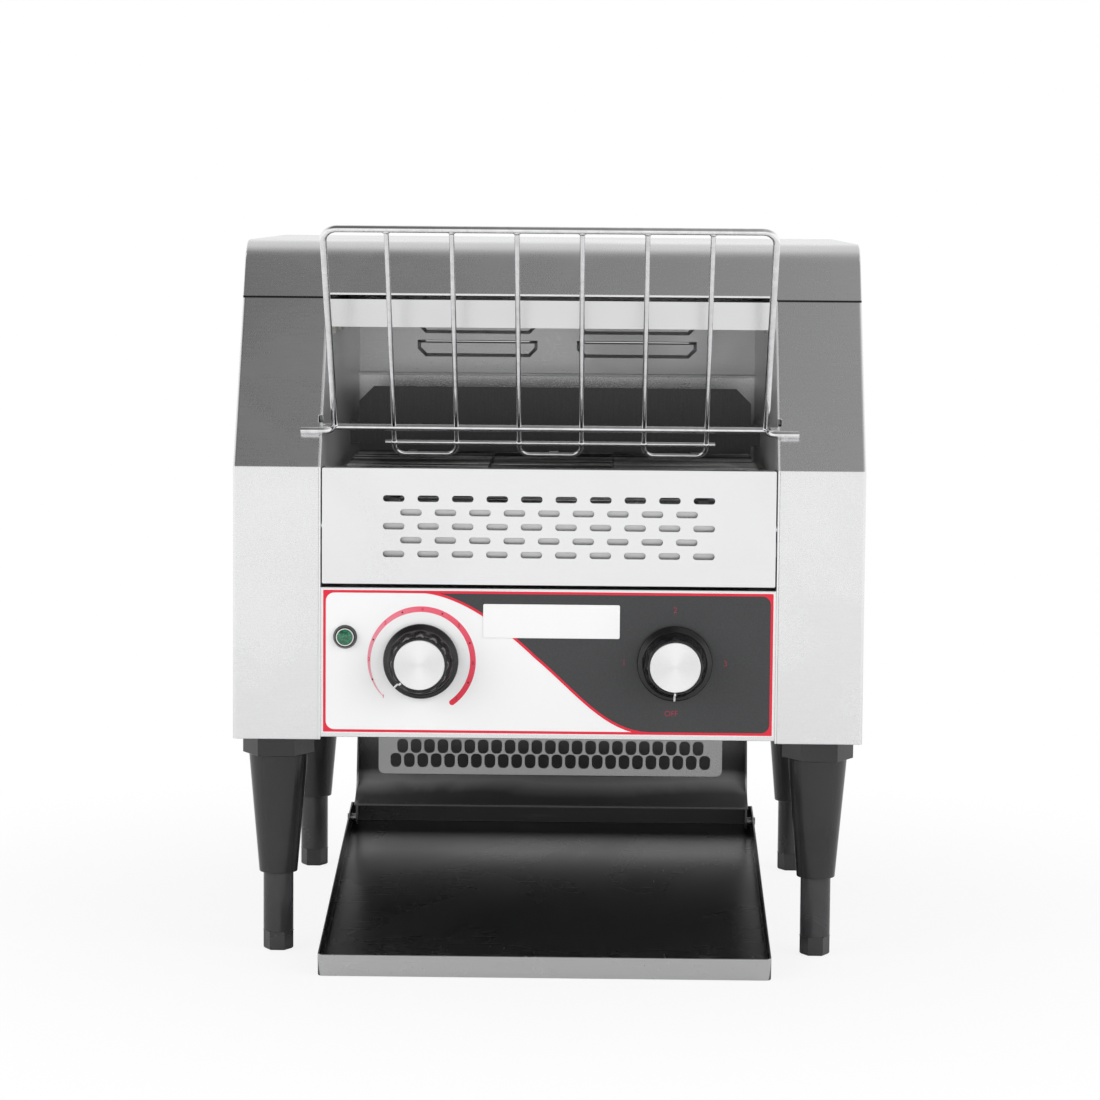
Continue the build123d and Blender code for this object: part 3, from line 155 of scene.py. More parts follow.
# ---- shared effects
def make_brushed_grain():
    """Long fine scratches. Stretch is the number of scratches per metre along each axis."""
    group, given, made = new_group(
        "Brushed grain",
        (("Place", "NodeSocketVector", None), ("Stretch", "NodeSocketVector", (20.0, 2500.0, 2500.0))),
        (("Grain", "NodeSocketFloat"),),
    )
    scaled = stretched(group, given.outputs["Place"], given.outputs["Stretch"])
    lines = times(group, noise(group, scaled, 1.0, 3.0, 0.6), 0.55)
    specks = times(group, noise(group, given.outputs["Place"], 1500.0, 1.0, 0.5), 0.45)
    both = plus(group, lines, specks)
    group.links.new(map_range(group, both, 0.3, 0.7), made.inputs["Grain"])
    return group


def make_smudges():
    """Soft cloudy marks left by handling and polishing cloths."""
    group, given, made = new_group(
        "Handling marks",
        (("Place", "NodeSocketVector", None), ("Size", "NodeSocketFloat", 14.0)),
        (("Mask", "NodeSocketFloat"),),
    )
    clouds = noise(group, given.outputs["Place"], given.outputs["Size"], 4.0, 0.55, 0.6)
    group.links.new(map_range(group, clouds, 0.38, 0.66, smooth=True), made.inputs["Mask"])
    return group


def make_scratches():
    """Sparse long scratches from crumbs and cleaning."""
    group, given, made = new_group(
        "Crumb scratches",
        (("Place", "NodeSocketVector", None), ("Density", "NodeSocketFloat", 1.0)),
        (("Mask", "NodeSocketFloat"),),
    )
    total = None
    for turn, scale in (
        (0.35, (18.0, 420.0, 420.0)),
        (-0.5, (520.0, 22.0, 520.0)),
        (1.1, (26.0, 610.0, 610.0)),
    ):
        mapping = group.nodes.new("ShaderNodeMapping")
        mapping.inputs["Rotation"].default_value = (0.0, 0.0, turn)
        mapping.inputs["Scale"].default_value = scale
        group.links.new(given.outputs["Place"], mapping.inputs["Vector"])
        line = map_range(group, noise(group, mapping.outputs[0], 1.0, 2.0, 0.5), 0.67, 0.74)
        total = line if total is None else math_node(group, "MAXIMUM", total, line)
    group.links.new(times(group, total, given.outputs["Density"], True), made.inputs["Mask"])
    return group


GRAIN = make_brushed_grain()
MARKS = make_smudges()
SCRATCHES = make_scratches()


def pattern(tree, kind, scale):
    """Texture node in the toaster's own coordinates."""
    node = tree.nodes.new(kind)
    node.inputs["Scale"].default_value = scale
    tree.links.new(place_vector(tree), node.inputs["Vector"])
    return node


def use_group(tree, group, **values):
    """Place a shared effect; values name its inputs. Returns its first output."""
    node = tree.nodes.new("ShaderNodeGroup")
    node.node_tree = group
    for label, value in (("Place", place_vector(tree)), *values.items()):
        feed(node.inputs[label], value)
    return node.outputs[0]


def new_material(name):
    """Material with a Principled shader. Returns the material, its tree and the shader."""
    material = bpy.data.materials.new(name)
    material.use_nodes = True
    tree = material.node_tree
    shader = tree.nodes["Principled BSDF"]
    return material, tree, shader


def finish(shader, colour, roughness, metallic=0.0):
    """Give a shader its colour, roughness and metallic value, as sockets or values."""
    feed(shader.inputs["Base Color"], colour)
    feed(shader.inputs["Roughness"], roughness)
    feed(shader.inputs["Metallic"], metallic)


def add_bump(tree, shader, height, strength, distance):
    """Bump from a height socket into the shader's normal."""
    node = tree.nodes.new("ShaderNodeBump")
    node.inputs["Strength"].default_value = strength
    node.inputs["Distance"].default_value = distance
    tree.links.new(height, node.inputs["Height"])
    tree.links.new(node.outputs["Normal"], shader.inputs["Normal"])


# ---- finishes
ACROSS = (70.0, 3400.0, 3400.0)  # grain marks per metre, rolled across the toaster
UPRIGHT = (3400.0, 3400.0, 70.0)
PAINTED_LIGHT_BAND = (58.0 * MM, 86.0 * MM)  # heights across which the chute's colour rises from painted shade to a band of painted reflection and falls again


def sheet_steel(name, tone, roughness, stretch, grain_depth, metallic=1.0, painted_seam_shade_z=None):
    """Stainless sheet with a rolled grain and handling marks; when a joint height is given, a thin line of
    painted shade darkens the colour there, standing in for the shadow in the gap between the sheets.
    """
    material, tree, shader = new_material(name)
    grain = use_group(tree, GRAIN, Stretch=stretch)
    cloudy = use_group(tree, MARKS, Size=11.0)
    shade = plus(tree, times(tree, grain, grain_depth), 1 - grain_depth / 2)
    # painted shade: a thin dark line at the joint between the cover and the housings, in place of the shadow
    # in the gap
    if painted_seam_shade_z is not None:
        off = math_node(tree, "ABSOLUTE", math_node(tree, "SUBTRACT", place_axes(tree)["Z"], painted_seam_shade_z))
        shade = times(tree, shade, map_range(tree, off, 0.4 * MM, 0.8 * MM, 0.08, 1.0))
    grey = tree.nodes.new("ShaderNodeCombineColor")
    for channel in ("Red", "Green", "Blue"):
        tree.links.new(shade, grey.inputs[channel])
    colour = mix_colour(tree, 1.0, grey.outputs[0], tone, "MULTIPLY")
    uneven = plus(tree, times(tree, grain, 0.08), roughness - 0.04)
    handled = times(tree, cloudy, 0.06)
    finish(shader, colour, plus(tree, uneven, handled, True), metallic)
    add_bump(tree, shader, grain, 0.03, 0.03 * MM)
    return material


def heat_tinted_steel():
    """Chute sheet, darkened as painted shade except for a lighter band just above its lower edge, which is a
    painted reflection of the floor.
    """
    material, tree, shader = new_material("heat_tinted_steel")
    grain = use_group(tree, GRAIN, Stretch=UPRIGHT)
    cloudy = use_group(tree, MARKS, Size=13.0)
    height = plus(tree, place_axes(tree)["Z"], times(tree, cloudy, 3.0 * MM))
    # painted light: the ramp is dark above and below the band as painted shade, and lighter within the band
    # as a painted reflection
    levels = ((0.2, 0.12), (0.46, 0.5), (0.58, 0.4), (0.7, 0.08))
    bands = [(place, (level,) * 3) for place, level in levels]
    painted_light_bands = colour_ramp(tree, map_range(tree, height, *PAINTED_LIGHT_BAND), (0.1,) * 3, (0.09,) * 3, bands)
    brushed = times(tree, grain, 0.2)
    colour = mix_colour(tree, brushed, painted_light_bands, (0.3, 0.3, 0.3))
    finish(shader, colour, map_range(tree, grain, 0.0, 1.0, 0.3, 0.4), 0.5)
    return material


def clouded_metal(name, size, tones, roughness, bump=0.0):
    """Plain metal whose tone and roughness vary in soft clouds; size is clouds per metre."""
    material, tree, shader = new_material(name)
    cloudy = use_group(tree, MARKS, Size=size)
    finish(shader, mix_colour(tree, cloudy, *tones), map_range(tree, cloudy, 0.0, 1.0, *roughness), 1.0)
    if bump:
        add_bump(tree, shader, cloudy, bump, 0.05 * MM)
    return material


def belt_wire():
    """Conveyor wire whose colour runs in rows of near black and near white, as painted shade and painted
    highlights on the strands, and duller where the heat has tinted it.
    """
    material, tree, shader = new_material("belt_wire_painted_highlights")
    cloudy = use_group(tree, MARKS, Size=45.0)
    rows = stretched(tree, place_vector(tree), (3.0, 85.0, 3.0))
    # painted light: rows along the belt alternate between dark and bright colour, standing in for the shade
    # and the highlights of the strands
    painted_light_mix = map_range(tree, noise(tree, rows, 1.0, 1.0, 0.5), 0.44, 0.58)
    tone = mix_colour(tree, painted_light_mix, (0.12, 0.12, 0.12), (0.92, 0.92, 0.92))
    colour = mix_colour(tree, times(tree, cloudy, 0.5), tone, (0.3, 0.29, 0.28))
    finish(shader, colour, map_range(tree, cloudy, 0.0, 1.0, 0.12, 0.24), 1.0)
    return material


def tray_steel(lip_back):
    """Tray sheet with crumb scratches, smooth inside; its colour is dark inside as painted shade under the
    body, and brighter in front of lip_back as a painted reflection of the floor.
    """
    material, tree, shader = new_material("tray_steel")
    lines = use_group(tree, SCRATCHES, Density=0.3)
    cloudy = use_group(tree, MARKS, Size=9.0)
    inside = map_range(tree, place_axes(tree)["Y"], lip_back - 0.2 * MM, lip_back + 0.2 * MM)
    # painted shade: the dark inside colour, made lighter only where there are crumb scratches
    painted_light_mix = mix_colour(tree, times(tree, lines, 0.25), (0.095, 0.095, 0.097), (0.3, 0.3, 0.3))
    # painted reflection: the pale colour of the front lip
    colour = mix_colour(tree, inside, (0.62, 0.62, 0.625), painted_light_mix)
    smooth = map_range(tree, cloudy, 0.0, 1.0, 0.26, 0.32)
    scratched = plus(tree, smooth, times(tree, lines, 0.1))
    finish(shader, colour, scratched, 1.0)
    add_bump(tree, shader, lines, 0.08, 0.05 * MM)
    return material


def moulded_plastic(name, tone, roughness, coat, speckle, lighter=0.25):
    """Moulded plastic with fine orange-peel and slight tone changes."""
    material, tree, shader = new_material(name)
    cloudy = use_group(tree, MARKS, Size=22.0)
    peel = noise(tree, place_vector(tree), speckle, 2.0, 0.5)
    lit = tuple(min(1.0, c * (1 + lighter)) for c in tone)
    uneven = map_range(tree, cloudy, 0.0, 1.0, roughness, roughness + 0.08)
    finish(shader, mix_colour(tree, cloudy, tone, lit), uneven)
    shader.inputs["Coat Weight"].default_value = coat
    shader.inputs["Coat Roughness"].default_value = 0.06
    add_bump(tree, shader, peel, 0.08, 0.2 * MM)
    return material


def spun_cap():
    """Spun aluminium disc: fine rings and a soft cone of light."""
    material, tree, shader = new_material("spun_aluminium")
    shader.inputs["Anisotropic"].default_value = 0.75
    rings = pattern(tree, "ShaderNodeTexWave", 900.0)
    rings.wave_type = "RINGS"
    rings.rings_direction = "Y"
    rings.inputs["Distortion"].default_value = 0.4
    tangent = tree.nodes.new("ShaderNodeTangent")
    tangent.direction_type = "RADIAL"
    tangent.axis = "Y"
    tree.links.new(tangent.outputs["Tangent"], shader.inputs["Tangent"])
    colour = mix_colour(tree, rings.outputs["Fac"], (0.98, 0.98, 0.985), (0.93, 0.93, 0.935))
    finish(shader, colour, map_range(tree, rings.outputs["Fac"], 0.0, 1.0, 0.24, 0.32), 1.0)
    return material


def printed_film(name, tone, roughness=0.35, grainy=0.0):
    """Printed film with a very fine tooth; grainy adds light specks to dark ink."""
    material, tree, shader = new_material(name)
    specks = noise(tree, place_vector(tree), 2600.0, 2.0, 0.6)
    lit = tuple(min(1.0, c + grainy) for c in tone)
    colour = mix_colour(tree, map_range(tree, specks, 0.35, 0.65), tone, lit)
    finish(shader, colour, map_range(tree, specks, 0.3, 0.7, roughness - 0.04, roughness + 0.04))
    add_bump(tree, shader, specks, 0.05, 0.03 * MM)
    return material


def scale_ink(centre):
    """Ink of the colour scale, from pale pink to red; its angles run clockwise from the top."""
    material, tree, shader = new_material("scale_ink")
    place = place_axes(tree)
    across = math_node(tree, "SUBTRACT", place["X"], centre[0])
    height = math_node(tree, "SUBTRACT", place["Z"], centre[1])
    turn = math_node(tree, "ARCTAN2", across, height)
    share = map_range(tree, turn, radians(-137), radians(143))
    middle = [(0.5, (0.88, 0.13, 0.2))]
    finish(shader, colour_ramp(tree, share, (0.86, 0.42, 0.5), (0.76, 0.02, 0.05), middle), 0.4)
    return material


def green_lens():
    """Clear green lamp lens with a moulded cross-hatch behind it; its colour is lighter towards the middle
    of each cell, as painted highlights on the facets.
    """
    material, tree, shader = new_material("green_lens")
    cells = pattern(tree, "ShaderNodeTexVoronoi", 900.0)
    facet = map_range(tree, cells.outputs["Distance"], 0.0, 0.7)
    # painted highlight: lighter green at the middle of each cell, darker at its edges
    finish(shader, mix_colour(tree, facet, (0.014, 0.3, 0.13), (0.005, 0.07, 0.035)), 0.08)
    shader.inputs["Coat Weight"].default_value = 1.0
    add_bump(tree, shader, facet, 0.3, 0.3 * MM)
    return material


def frosted_quartz():
    """Milky quartz tube with the heating coil showing faintly as bands."""
    material, tree, shader = new_material("frosted_quartz")
    coil = pattern(tree, "ShaderNodeTexWave", 60.0)
    coil.bands_direction = "X"
    finish(shader, mix_colour(tree, coil.outputs["Fac"], (0.6, 0.58, 0.55), (0.42, 0.38, 0.34)), 0.22)
    shader.inputs["Coat Weight"].default_value = 0.6
    return material


SEAM_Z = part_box("left_side_housing")[1][2]  # joint between the housings and the cover
# back of the tray's front lip: in front of it the tray is painted bright as a reflection, behind it dark as
# painted shade
TRAY_LIP_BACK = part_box("toast_tray")[0][1] + 2.2 * MM

# the outer steel carries a thin line of painted shade at the joint height SEAM_Z
OUTER_STEEL = sheet_steel("brushed_steel", (0.87, 0.87, 0.875), 0.25, ACROSS, 0.09, painted_seam_shade_z=SEAM_Z)
PANEL_STEEL = sheet_steel("panel_steel", (0.87, 0.87, 0.875), 0.2, ACROSS, 0.05)
INNER_STEEL = sheet_steel("polished_steel", (0.72, 0.72, 0.725), 0.14, UPRIGHT, 0.05)
WALL_STEEL = sheet_steel("wall_steel", (0.9, 0.9, 0.905), 0.3, UPRIGHT, 0.06, metallic=0.65)
VENT_STEEL = sheet_steel("vent_steel", (0.72, 0.72, 0.725), 0.3, ACROSS, 0.08, metallic=0.8)
CHUTE_STEEL = heat_tinted_steel()
GUARD_STEEL = sheet_steel("guard_steel", (0.36, 0.36, 0.365), 0.28, ACROSS, 0.06)
TRAY_STEEL = tray_steel(TRAY_LIP_BACK)
WIRE_TONES = ((0.95, 0.95, 0.96), (0.84, 0.84, 0.85))
BRIGHT_WIRE = clouded_metal("bright_wire", 160.0, WIRE_TONES, (0.08, 0.16), 0.1)
BELT_WIRE = belt_wire()
TURNED = clouded_metal("turned_steel", 90.0, ((0.52, 0.52, 0.53), (0.34, 0.34, 0.35)), (0.25, 0.4))
KNOB_BLACK = moulded_plastic("knob_black", (0.008, 0.008, 0.009), 0.1, 0.15, 900.0)
LEG_BLACK = moulded_plastic("leg_black", (0.018, 0.018, 0.019), 0.16, 0.15, 500.0)
FOOT_BLACK = moulded_plastic("foot_black", (0.034, 0.034, 0.036), 0.2, 0.1, 700.0)
CERAMIC = moulded_plastic("ceramic", (0.8, 0.78, 0.72), 0.5, 0.0, 1200.0, 0.05)
SWITCH_CREAM = moulded_plastic("switch_moulding", (0.5, 0.48, 0.42), 0.45, 0.0, 900.0, 0.1)
MOTOR_PAINT = moulded_plastic("motor_paint", (0.3, 0.31, 0.33), 0.4, 0.1, 600.0, 0.1)
BRONZE = sheet_steel("sintered_bronze", (0.5, 0.43, 0.34), 0.4, ACROSS, 0.1)
CAP_METAL = spun_cap()
FILM_WHITE = printed_film("film_white", (0.93, 0.93, 0.935))
FILM_DARK = printed_film("film_dark", (0.034, 0.035, 0.037), 0.42, 0.02)
FILM_RED = printed_film("film_red", (0.76, 0.014, 0.045))
DIM_RED = printed_film("dim_red", (0.3, 0.03, 0.06))
PLATE_WHITE = printed_film("plate_white", (0.94, 0.94, 0.94), 0.3)
POINTER_WHITE = printed_film("pointer_white", (0.85, 0.85, 0.85))
LENS_GREEN = green_lens()
QUARTZ = frosted_quartz()


# ---- finish and edges of the CAD pieces
def give_material(piece, material, smooth=True):
    """Give a piece its one material, and smooth or flat shading."""
    piece.data.materials.clear()
    piece.data.materials.append(material)
    piece.data.polygons.foreach_set("use_smooth", [smooth] * len(piece.data.polygons))


def sharpen(piece, angle=35):
    """Keep edges over an angle sharp."""
    split = piece.modifiers.new("split", "EDGE_SPLIT")
    split.split_angle = radians(angle)
    return piece


def dress(node, material, edge=0.0, clamp=False):
    """Give a CAD node its finish; edge is the rounding of its sharp edges, in millimetres."""
    piece = nodes[node]
    give_material(piece, material)
    if piece.data.has_custom_normals:
        piece.data.attributes.remove(piece.data.attributes["custom_normal"])
    weld = piece.modifiers.new("weld", "WELD")
    weld.merge_threshold = 1e-5
    if edge > 0:
        flat = piece.modifiers.new("flat", "DECIMATE")
        flat.decimate_type = "DISSOLVE"
        flat.angle_limit = radians(0.4)
        rounding = piece.modifiers.new("edge", "BEVEL")
        rounding.width = edge * MM
        rounding.segments = 2
        rounding.limit_method = "ANGLE"
        rounding.angle_limit = radians(22)
        rounding.use_clamp_overlap = clamp
        weighed = piece.modifiers.new("weighed", "WEIGHTED_NORMAL")
        weighed.weight = 100
    else:
        sharpen(piece, 30)


for side in ("left", "right"):
    dress(f"{side}_side_housing", OUTER_STEEL, 0.45)
    dress(f"{side}_chamber_wall", WALL_STEEL, 0.4)
    dress(f"{side}_base_plate", VENT_STEEL)
    for end in ("front", "rear"):
        dress(f"{end}_{side}_leg", LEG_BLACK, 0.5)
        dress(f"{end}_{side}_foot", FOOT_BLACK, 0.3)
dress("top_cover", OUTER_STEEL, 0.45, clamp=True)
dress("rear_service_panel", OUTER_STEEL, 0.3)
dress("control_box", PANEL_STEEL, 0.4)
dress("toast_tray", TRAY_STEEL, 0.35)
TURNED_PIECES = (
    "drive_shaft", "idler_shaft", "motor_shaft", "colour_spindle", "selector_spindle",
    "drive_sprockets", "idler_sprockets", "motor_chain_wheel", "drive_chain_wheel", "drive_chain",
    "tray_pivot_studs",
)
for material, names in (
    (VENT_STEEL, ("rear_vent_panel",)),
    (FILM_WHITE, ("control_overlay",)),
    (INNER_STEEL, ("upper_reflector", "lower_reflector")),
    (CHUTE_STEEL, ("toast_chute",)),
    (SWITCH_CREAM, ("colour_regulator", "selector_switch", "terminal_block")),
    (MOTOR_PAINT, ("gear_motor",)),
    (CERAMIC, ("ceramic_tube_holders",)),
    (BRONZE, ("shaft_bushes",)),
    (FOOT_BLACK, ("cord_gland", "cord_gland_nut")),
    (KNOB_BLACK, ("lamp_bezel",)),
    (LENS_GREEN, ("lamp_lens",)),
    (TURNED, TURNED_PIECES),
    (QUARTZ, [f"{row}_heating_tube_{place}" for row in ("upper", "lower") for place in (1, 2, 3)]),
):
    for name in names:
        dress(name, material)


# ---- sizes read from the frame
def span(node, axis):
    """Lowest and highest coordinate of a CAD node along an axis, in metres."""
    low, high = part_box(node)
    return low[axis], high[axis]


FRONT_Y = span("control_box", 1)[0]
OVERLAY_Y = span("control_overlay", 1)[0]
CHAMBER_X = span("upper_reflector", 0)[1]
SHEET_GAP = 0.4 * MM  # between neighbouring sheets
KINK_Z = span("front_panel", 2)[1] + SHEET_GAP  # where the front starts to lean
SEAM_Y = span("top_cover", 1)[0]
LEAN = atan((SEAM_Y - FRONT_Y) / (SEAM_Z - KINK_Z))


# ---- making pieces
def new_object(name, data):
    """Make an object and link it into the scene."""
    made = bpy.data.objects.new(name, data)
    bpy.context.scene.collection.objects.link(made)
    return made


def add_piece(name, mesh, material, body=BODY, smooth=True):
    """Link a mesh as a piece that rides on a body."""
    piece = new_object(name, mesh)
    give_material(piece, material, smooth)
    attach(piece, body)
    return piece


def form_mesh(form, name):
    """Turn a bmesh into a mesh and free it."""
    mesh = bpy.data.meshes.new(name)
    form.to_mesh(mesh)
    form.free()
    return mesh


def curve_mesh(data, place=None):
    """Turn curve or text data into a mesh; flat data is stood upright at a place."""
    holder = new_object("holder", data)
    if place is not None:
        holder.matrix_world = Matrix.Translation(place) @ Matrix.Rotation(pi / 2, 4, "X")
    bpy.context.view_layer.update()
    graph = bpy.context.evaluated_depsgraph_get()
    mesh = bpy.data.meshes.new_from_object(holder.evaluated_get(graph))
    mesh.transform(holder.matrix_world)
    bpy.data.objects.remove(holder)
    bpy.data.curves.remove(data)
    return mesh


def add_line(data, points, closed=False):
    """Add a line of straight parts to a curve."""
    spline = data.splines.new("POLY")
    spline.points.add(len(points) - 1)
    spline.use_cyclic_u = closed
    for point, place in zip(spline.points, points):
        point.co = (*place, 1.0)


def rounded_route(points, radius, steps):
    """Points of a path whose corners are arcs of a given radius, all in metres."""
    points = [Vector(p) for p in points]
    route = [points[0]]
    for before, corner, after in zip(points, points[1:], points[2:]):
        to_before = (before - corner).normalized()
        to_after = (after - corner).normalized()
        turn = pi - to_before.angle(to_after)
        reach = radius * tan(turn / 2)
        bisector = (to_before + to_after).normalized()
        centre = corner + bisector * (radius / cos(turn / 2))
        first = corner + to_before * reach - centre
        last = corner + to_after * reach - centre
        for step in range(steps + 1):
            share = step / steps
            low = sin((1 - share) * turn) / sin(turn)
            high = sin(share * turn) / sin(turn)
            route.append(centre + first * low + last * high)
    route.append(points[-1])
    return route


def wire_mesh(routes, radius, sides):
    """Mesh of round wires with flat ends that follow the given routes."""
    data = bpy.data.curves.new("wire", "CURVE")
    data.dimensions = "3D"
    data.bevel_depth = radius
    data.bevel_resolution = sides // 2 - 2
    data.use_fill_caps = True
    for route in routes:
        add_line(data, route)
    return curve_mesh(data)


def flat_mesh(outlines, thickness, y, edge=0.0):
    """Sheet that faces the front with its back at y; outlines are lists of (x, z), holes among them."""
    data = bpy.data.curves.new("sheet", "CURVE")
    data.dimensions = "2D"
    data.fill_mode = "BOTH"
    data.extrude = thickness / 2 - edge
    data.bevel_depth = edge
    data.offset = -edge
    data.bevel_resolution = 1
    for outline in outlines:
        add_line(data, [(x, z, 0.0) for x, z in outline], closed=True)
    return curve_mesh(data, (0, y - thickness / 2, 0))


def ring_point(cx, cz, radius, angle):
    """Point of a ring, its angle in degrees anticlockwise from +X seen from the front."""
    return cx + radius * cos(radians(angle)), cz + radius * sin(radians(angle))


def arc_points(cx, cz, radius, start, end, steps):
    """Points of an arc, from its start angle to its end angle."""
    return [ring_point(cx, cz, radius, start + (end - start) * k / steps) for k in range(steps + 1)]


def rounded_rectangle(cx, cz, width, height, radius, steps=6):
    """Outline of a rectangle with round corners."""
    points = []
    for sx, sz, start in ((1, 1, 0), (-1, 1, 90), (-1, -1, 180), (1, -1, 270)):
        x = cx + sx * (width / 2 - radius)
        z = cz + sz * (height / 2 - radius)
        points += arc_points(x, z, radius, start, start + 90, steps)
    return points


def bezier_points(p0, h0, h1, p1, steps=16):
    """Points of one cubic curve."""
    made = []
    for k in range(steps + 1):
        t = k / steps
        u = 1 - t
        weights = (u**3, 3 * u * u * t, 3 * u * t * t, t**3)
        made.append(tuple(sum(w * p[i] for w, p in zip(weights, (p0, h0, h1, p1))) for i in (0, 1)))
    return made


def revolve_mesh(profile, centre, segments, shape=None):
    """Turned form about an axis along Y: profile is (radius, y); shape may vary radius by angle."""
    form = bmesh.new()
    rings = []
    for radius, y in profile:
        if radius < 1e-7:
            rings.append([form.verts.new((centre[0], y, centre[1]))])
            continue
        ring = []
        for k in range(segments):
            a = 2 * pi * k / segments
            r = shape(radius, y, a) if shape else radius
            ring.append(form.verts.new((centre[0] + r * cos(a), y, centre[1] + r * sin(a))))
        rings.append(ring)
    for one, two in zip(rings, rings[1:]):
        for k in range(segments):
            n = (k + 1) % segments
            corners = ((one, k), (two, k), (two, n), (one, n))
            form.faces.new(dict.fromkeys(ring[at % len(ring)] for ring, at in corners))
    bmesh.ops.recalc_face_normals(form, faces=form.faces)
    return form_mesh(form, "turned")


# ---- bread rack
RACK_WIRE = 2.0 * MM  # radii of the wires
THIN_WIRE = 1.45 * MM
RACK_TOP_HALF = 127.4 * MM
RACK_FOOT_HALF = 126.5 * MM
RACK_FOOT_RISE = 2.5 * MM
RACK_CORNER = 8.0 * MM
RACK_SEAT_Z = 312.8 * MM
RACK_SEAT_INSET = 9.7 * MM
RACK_PIN_REACH = 2.1 * MM  # past the chamber walls
RACK_STOP_X = 128.0 * MM
RACK_STOP_Z = 311.5 * MM
RACK_STOP_REACH = 12.4 * MM  # past the chamber walls
RACK_STOP_GAP = 0.3 * MM
RACK_STOP_CORNER = 4.0 * MM
THIN_PITCH = 36.7 * MM
THIN_BAR_DROP = 11.3 * MM
THIN_BAR_HALF = 97.0 * MM
LOOP_DROP = 20.0 * MM
LOOP_CORNER = 6.0 * MM
BEAD_SIZE = (2.5 * MM, 2.2 * MM, 1.9 * MM)
BEAD_UNDER_TOP = 1.4 * MM


def lean_y(z, inset):
    """Y of the leaning front face at height z, moved into the body by inset."""
    return FRONT_Y + (inset + (z - KINK_Z) * sin(LEAN)) / cos(LEAN)


def bread_rack():
    """Welded rack of round wire: frame, cross wires, three thin loops and two stops."""
    low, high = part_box("bread_rack")
    seat = Vector((0, lean_y(RACK_SEAT_Z, RACK_SEAT_INSET), RACK_SEAT_Z))
    top = Vector((0, low[1] + RACK_WIRE, high[2] - RACK_WIRE))
    up = (top - seat).normalized()
    length = (top - seat).length
    across = Vector((1, 0, 0))
    pin_end = CHAMBER_X + RACK_PIN_REACH
    stop_end = CHAMBER_X + RACK_STOP_REACH
    front = lean_y(RACK_STOP_Z, 0) - (RACK_WIRE + RACK_STOP_GAP) / cos(LEAN)

    def spot(x, along):
        return seat + across * x + up * along

    frame_left = [spot(-RACK_FOOT_HALF, RACK_FOOT_RISE), spot(-RACK_TOP_HALF, length)]
    frame_right = [spot(RACK_TOP_HALF, length), spot(RACK_FOOT_HALF, RACK_FOOT_RISE)]
    thick = [rounded_route(frame_left + frame_right, RACK_CORNER, 10)]
    thick.append([spot(-pin_end, 0), spot(pin_end, 0)])
    for sign in (-1, 1):
        start = Vector((sign * RACK_STOP_X, seat.y, seat.z))
        corner = Vector((sign * RACK_STOP_X, front, RACK_STOP_Z))
        end = Vector((sign * stop_end, front, RACK_STOP_Z))
        thick.append(rounded_route([start, corner, end], RACK_STOP_CORNER, 8))
    thin = [[spot(-THIN_BAR_HALF, -THIN_BAR_DROP), spot(THIN_BAR_HALF, -THIN_BAR_DROP)]]
    for pair in (-1, 0, 1):
        left = (2 * pair - 0.5) * THIN_PITCH
        right = left + THIN_PITCH
        corners = [spot(left, length), spot(left, -LOOP_DROP), spot(right, -LOOP_DROP), spot(right, length)]
        thin.append(rounded_route(corners, LOOP_CORNER, 8))
    rack = add_piece("rack_frame_wire", wire_mesh(thick, RACK_WIRE, 16), BRIGHT_WIRE, "rack")
    loops = add_piece("rack_thin_wire", wire_mesh(thin, THIN_WIRE, 12), BRIGHT_WIRE, "rack")
    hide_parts("bread_rack")
    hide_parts("bread_rack")
    welds = bmesh.new()
    places = []
    for pair in (-1, 0, 1):
        for x in ((2 * pair - 0.5) * THIN_PITCH, (2 * pair + 0.5) * THIN_PITCH):
            places += [spot(x, -0.3 * MM), spot(x, -THIN_BAR_DROP), spot(x, length - BEAD_UNDER_TOP)]
    for sign in (-1, 1):
        places.append(spot(sign * RACK_FOOT_HALF, 1.0 * MM))
    for place in places:
        turned = Matrix.Translation(place) @ Matrix.Diagonal((*BEAD_SIZE, 1.0))
        bmesh.ops.create_icosphere(welds, subdivisions=2, radius=1.0, matrix=turned)
    beads = add_piece("rack_weld_beads", form_mesh(welds, "welds"), BRIGHT_WIRE, "rack")


# ---- conveyor belt
BELT_PITCH = 10.0 * MM
BELT_TEETH = 10
BELT_RUN = 18
BELT_STRAND = 0.95 * MM  # radius of a strand
BELT_JOG = 37.5 * MM  # from the middle to where a strand steps over
BELT_GAP = 0.25 * MM
BELT_STEP = 1 - (2 * BELT_STRAND + BELT_GAP) / BELT_PITCH  # in pitches
BELT_HOOK = 0.8 * BELT_STEP
BELT_CORNER = 1.6 * MM


def belt_point(place):
    """Y and Z of a point on the belt, place pitches along from the top of the front wheel."""
    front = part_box("idler_shaft")
    axis_y = (front[0][1] + front[1][1]) / 2
    axis_z = (front[0][2] + front[1][2]) / 2
    radius = BELT_PITCH / 2 / sin(pi / BELT_TEETH)
    half = BELT_TEETH / 2
    place = place % (2 * BELT_RUN + BELT_TEETH)
    if place < BELT_RUN:
        return axis_y + place * BELT_PITCH, axis_z + radius
    if place < BELT_RUN + half:
        turn = (place - BELT_RUN) * 2 * pi / BELT_TEETH
        return axis_y + BELT_RUN * BELT_PITCH + radius * sin(turn), axis_z + radius * cos(turn)
    if place < 2 * BELT_RUN + half:
        return axis_y + (2 * BELT_RUN + half - place) * BELT_PITCH, axis_z - radius
    turn = (place - 2 * BELT_RUN - half) * 2 * pi / BELT_TEETH
    return axis_y - radius * sin(turn), axis_z - radius * cos(turn)


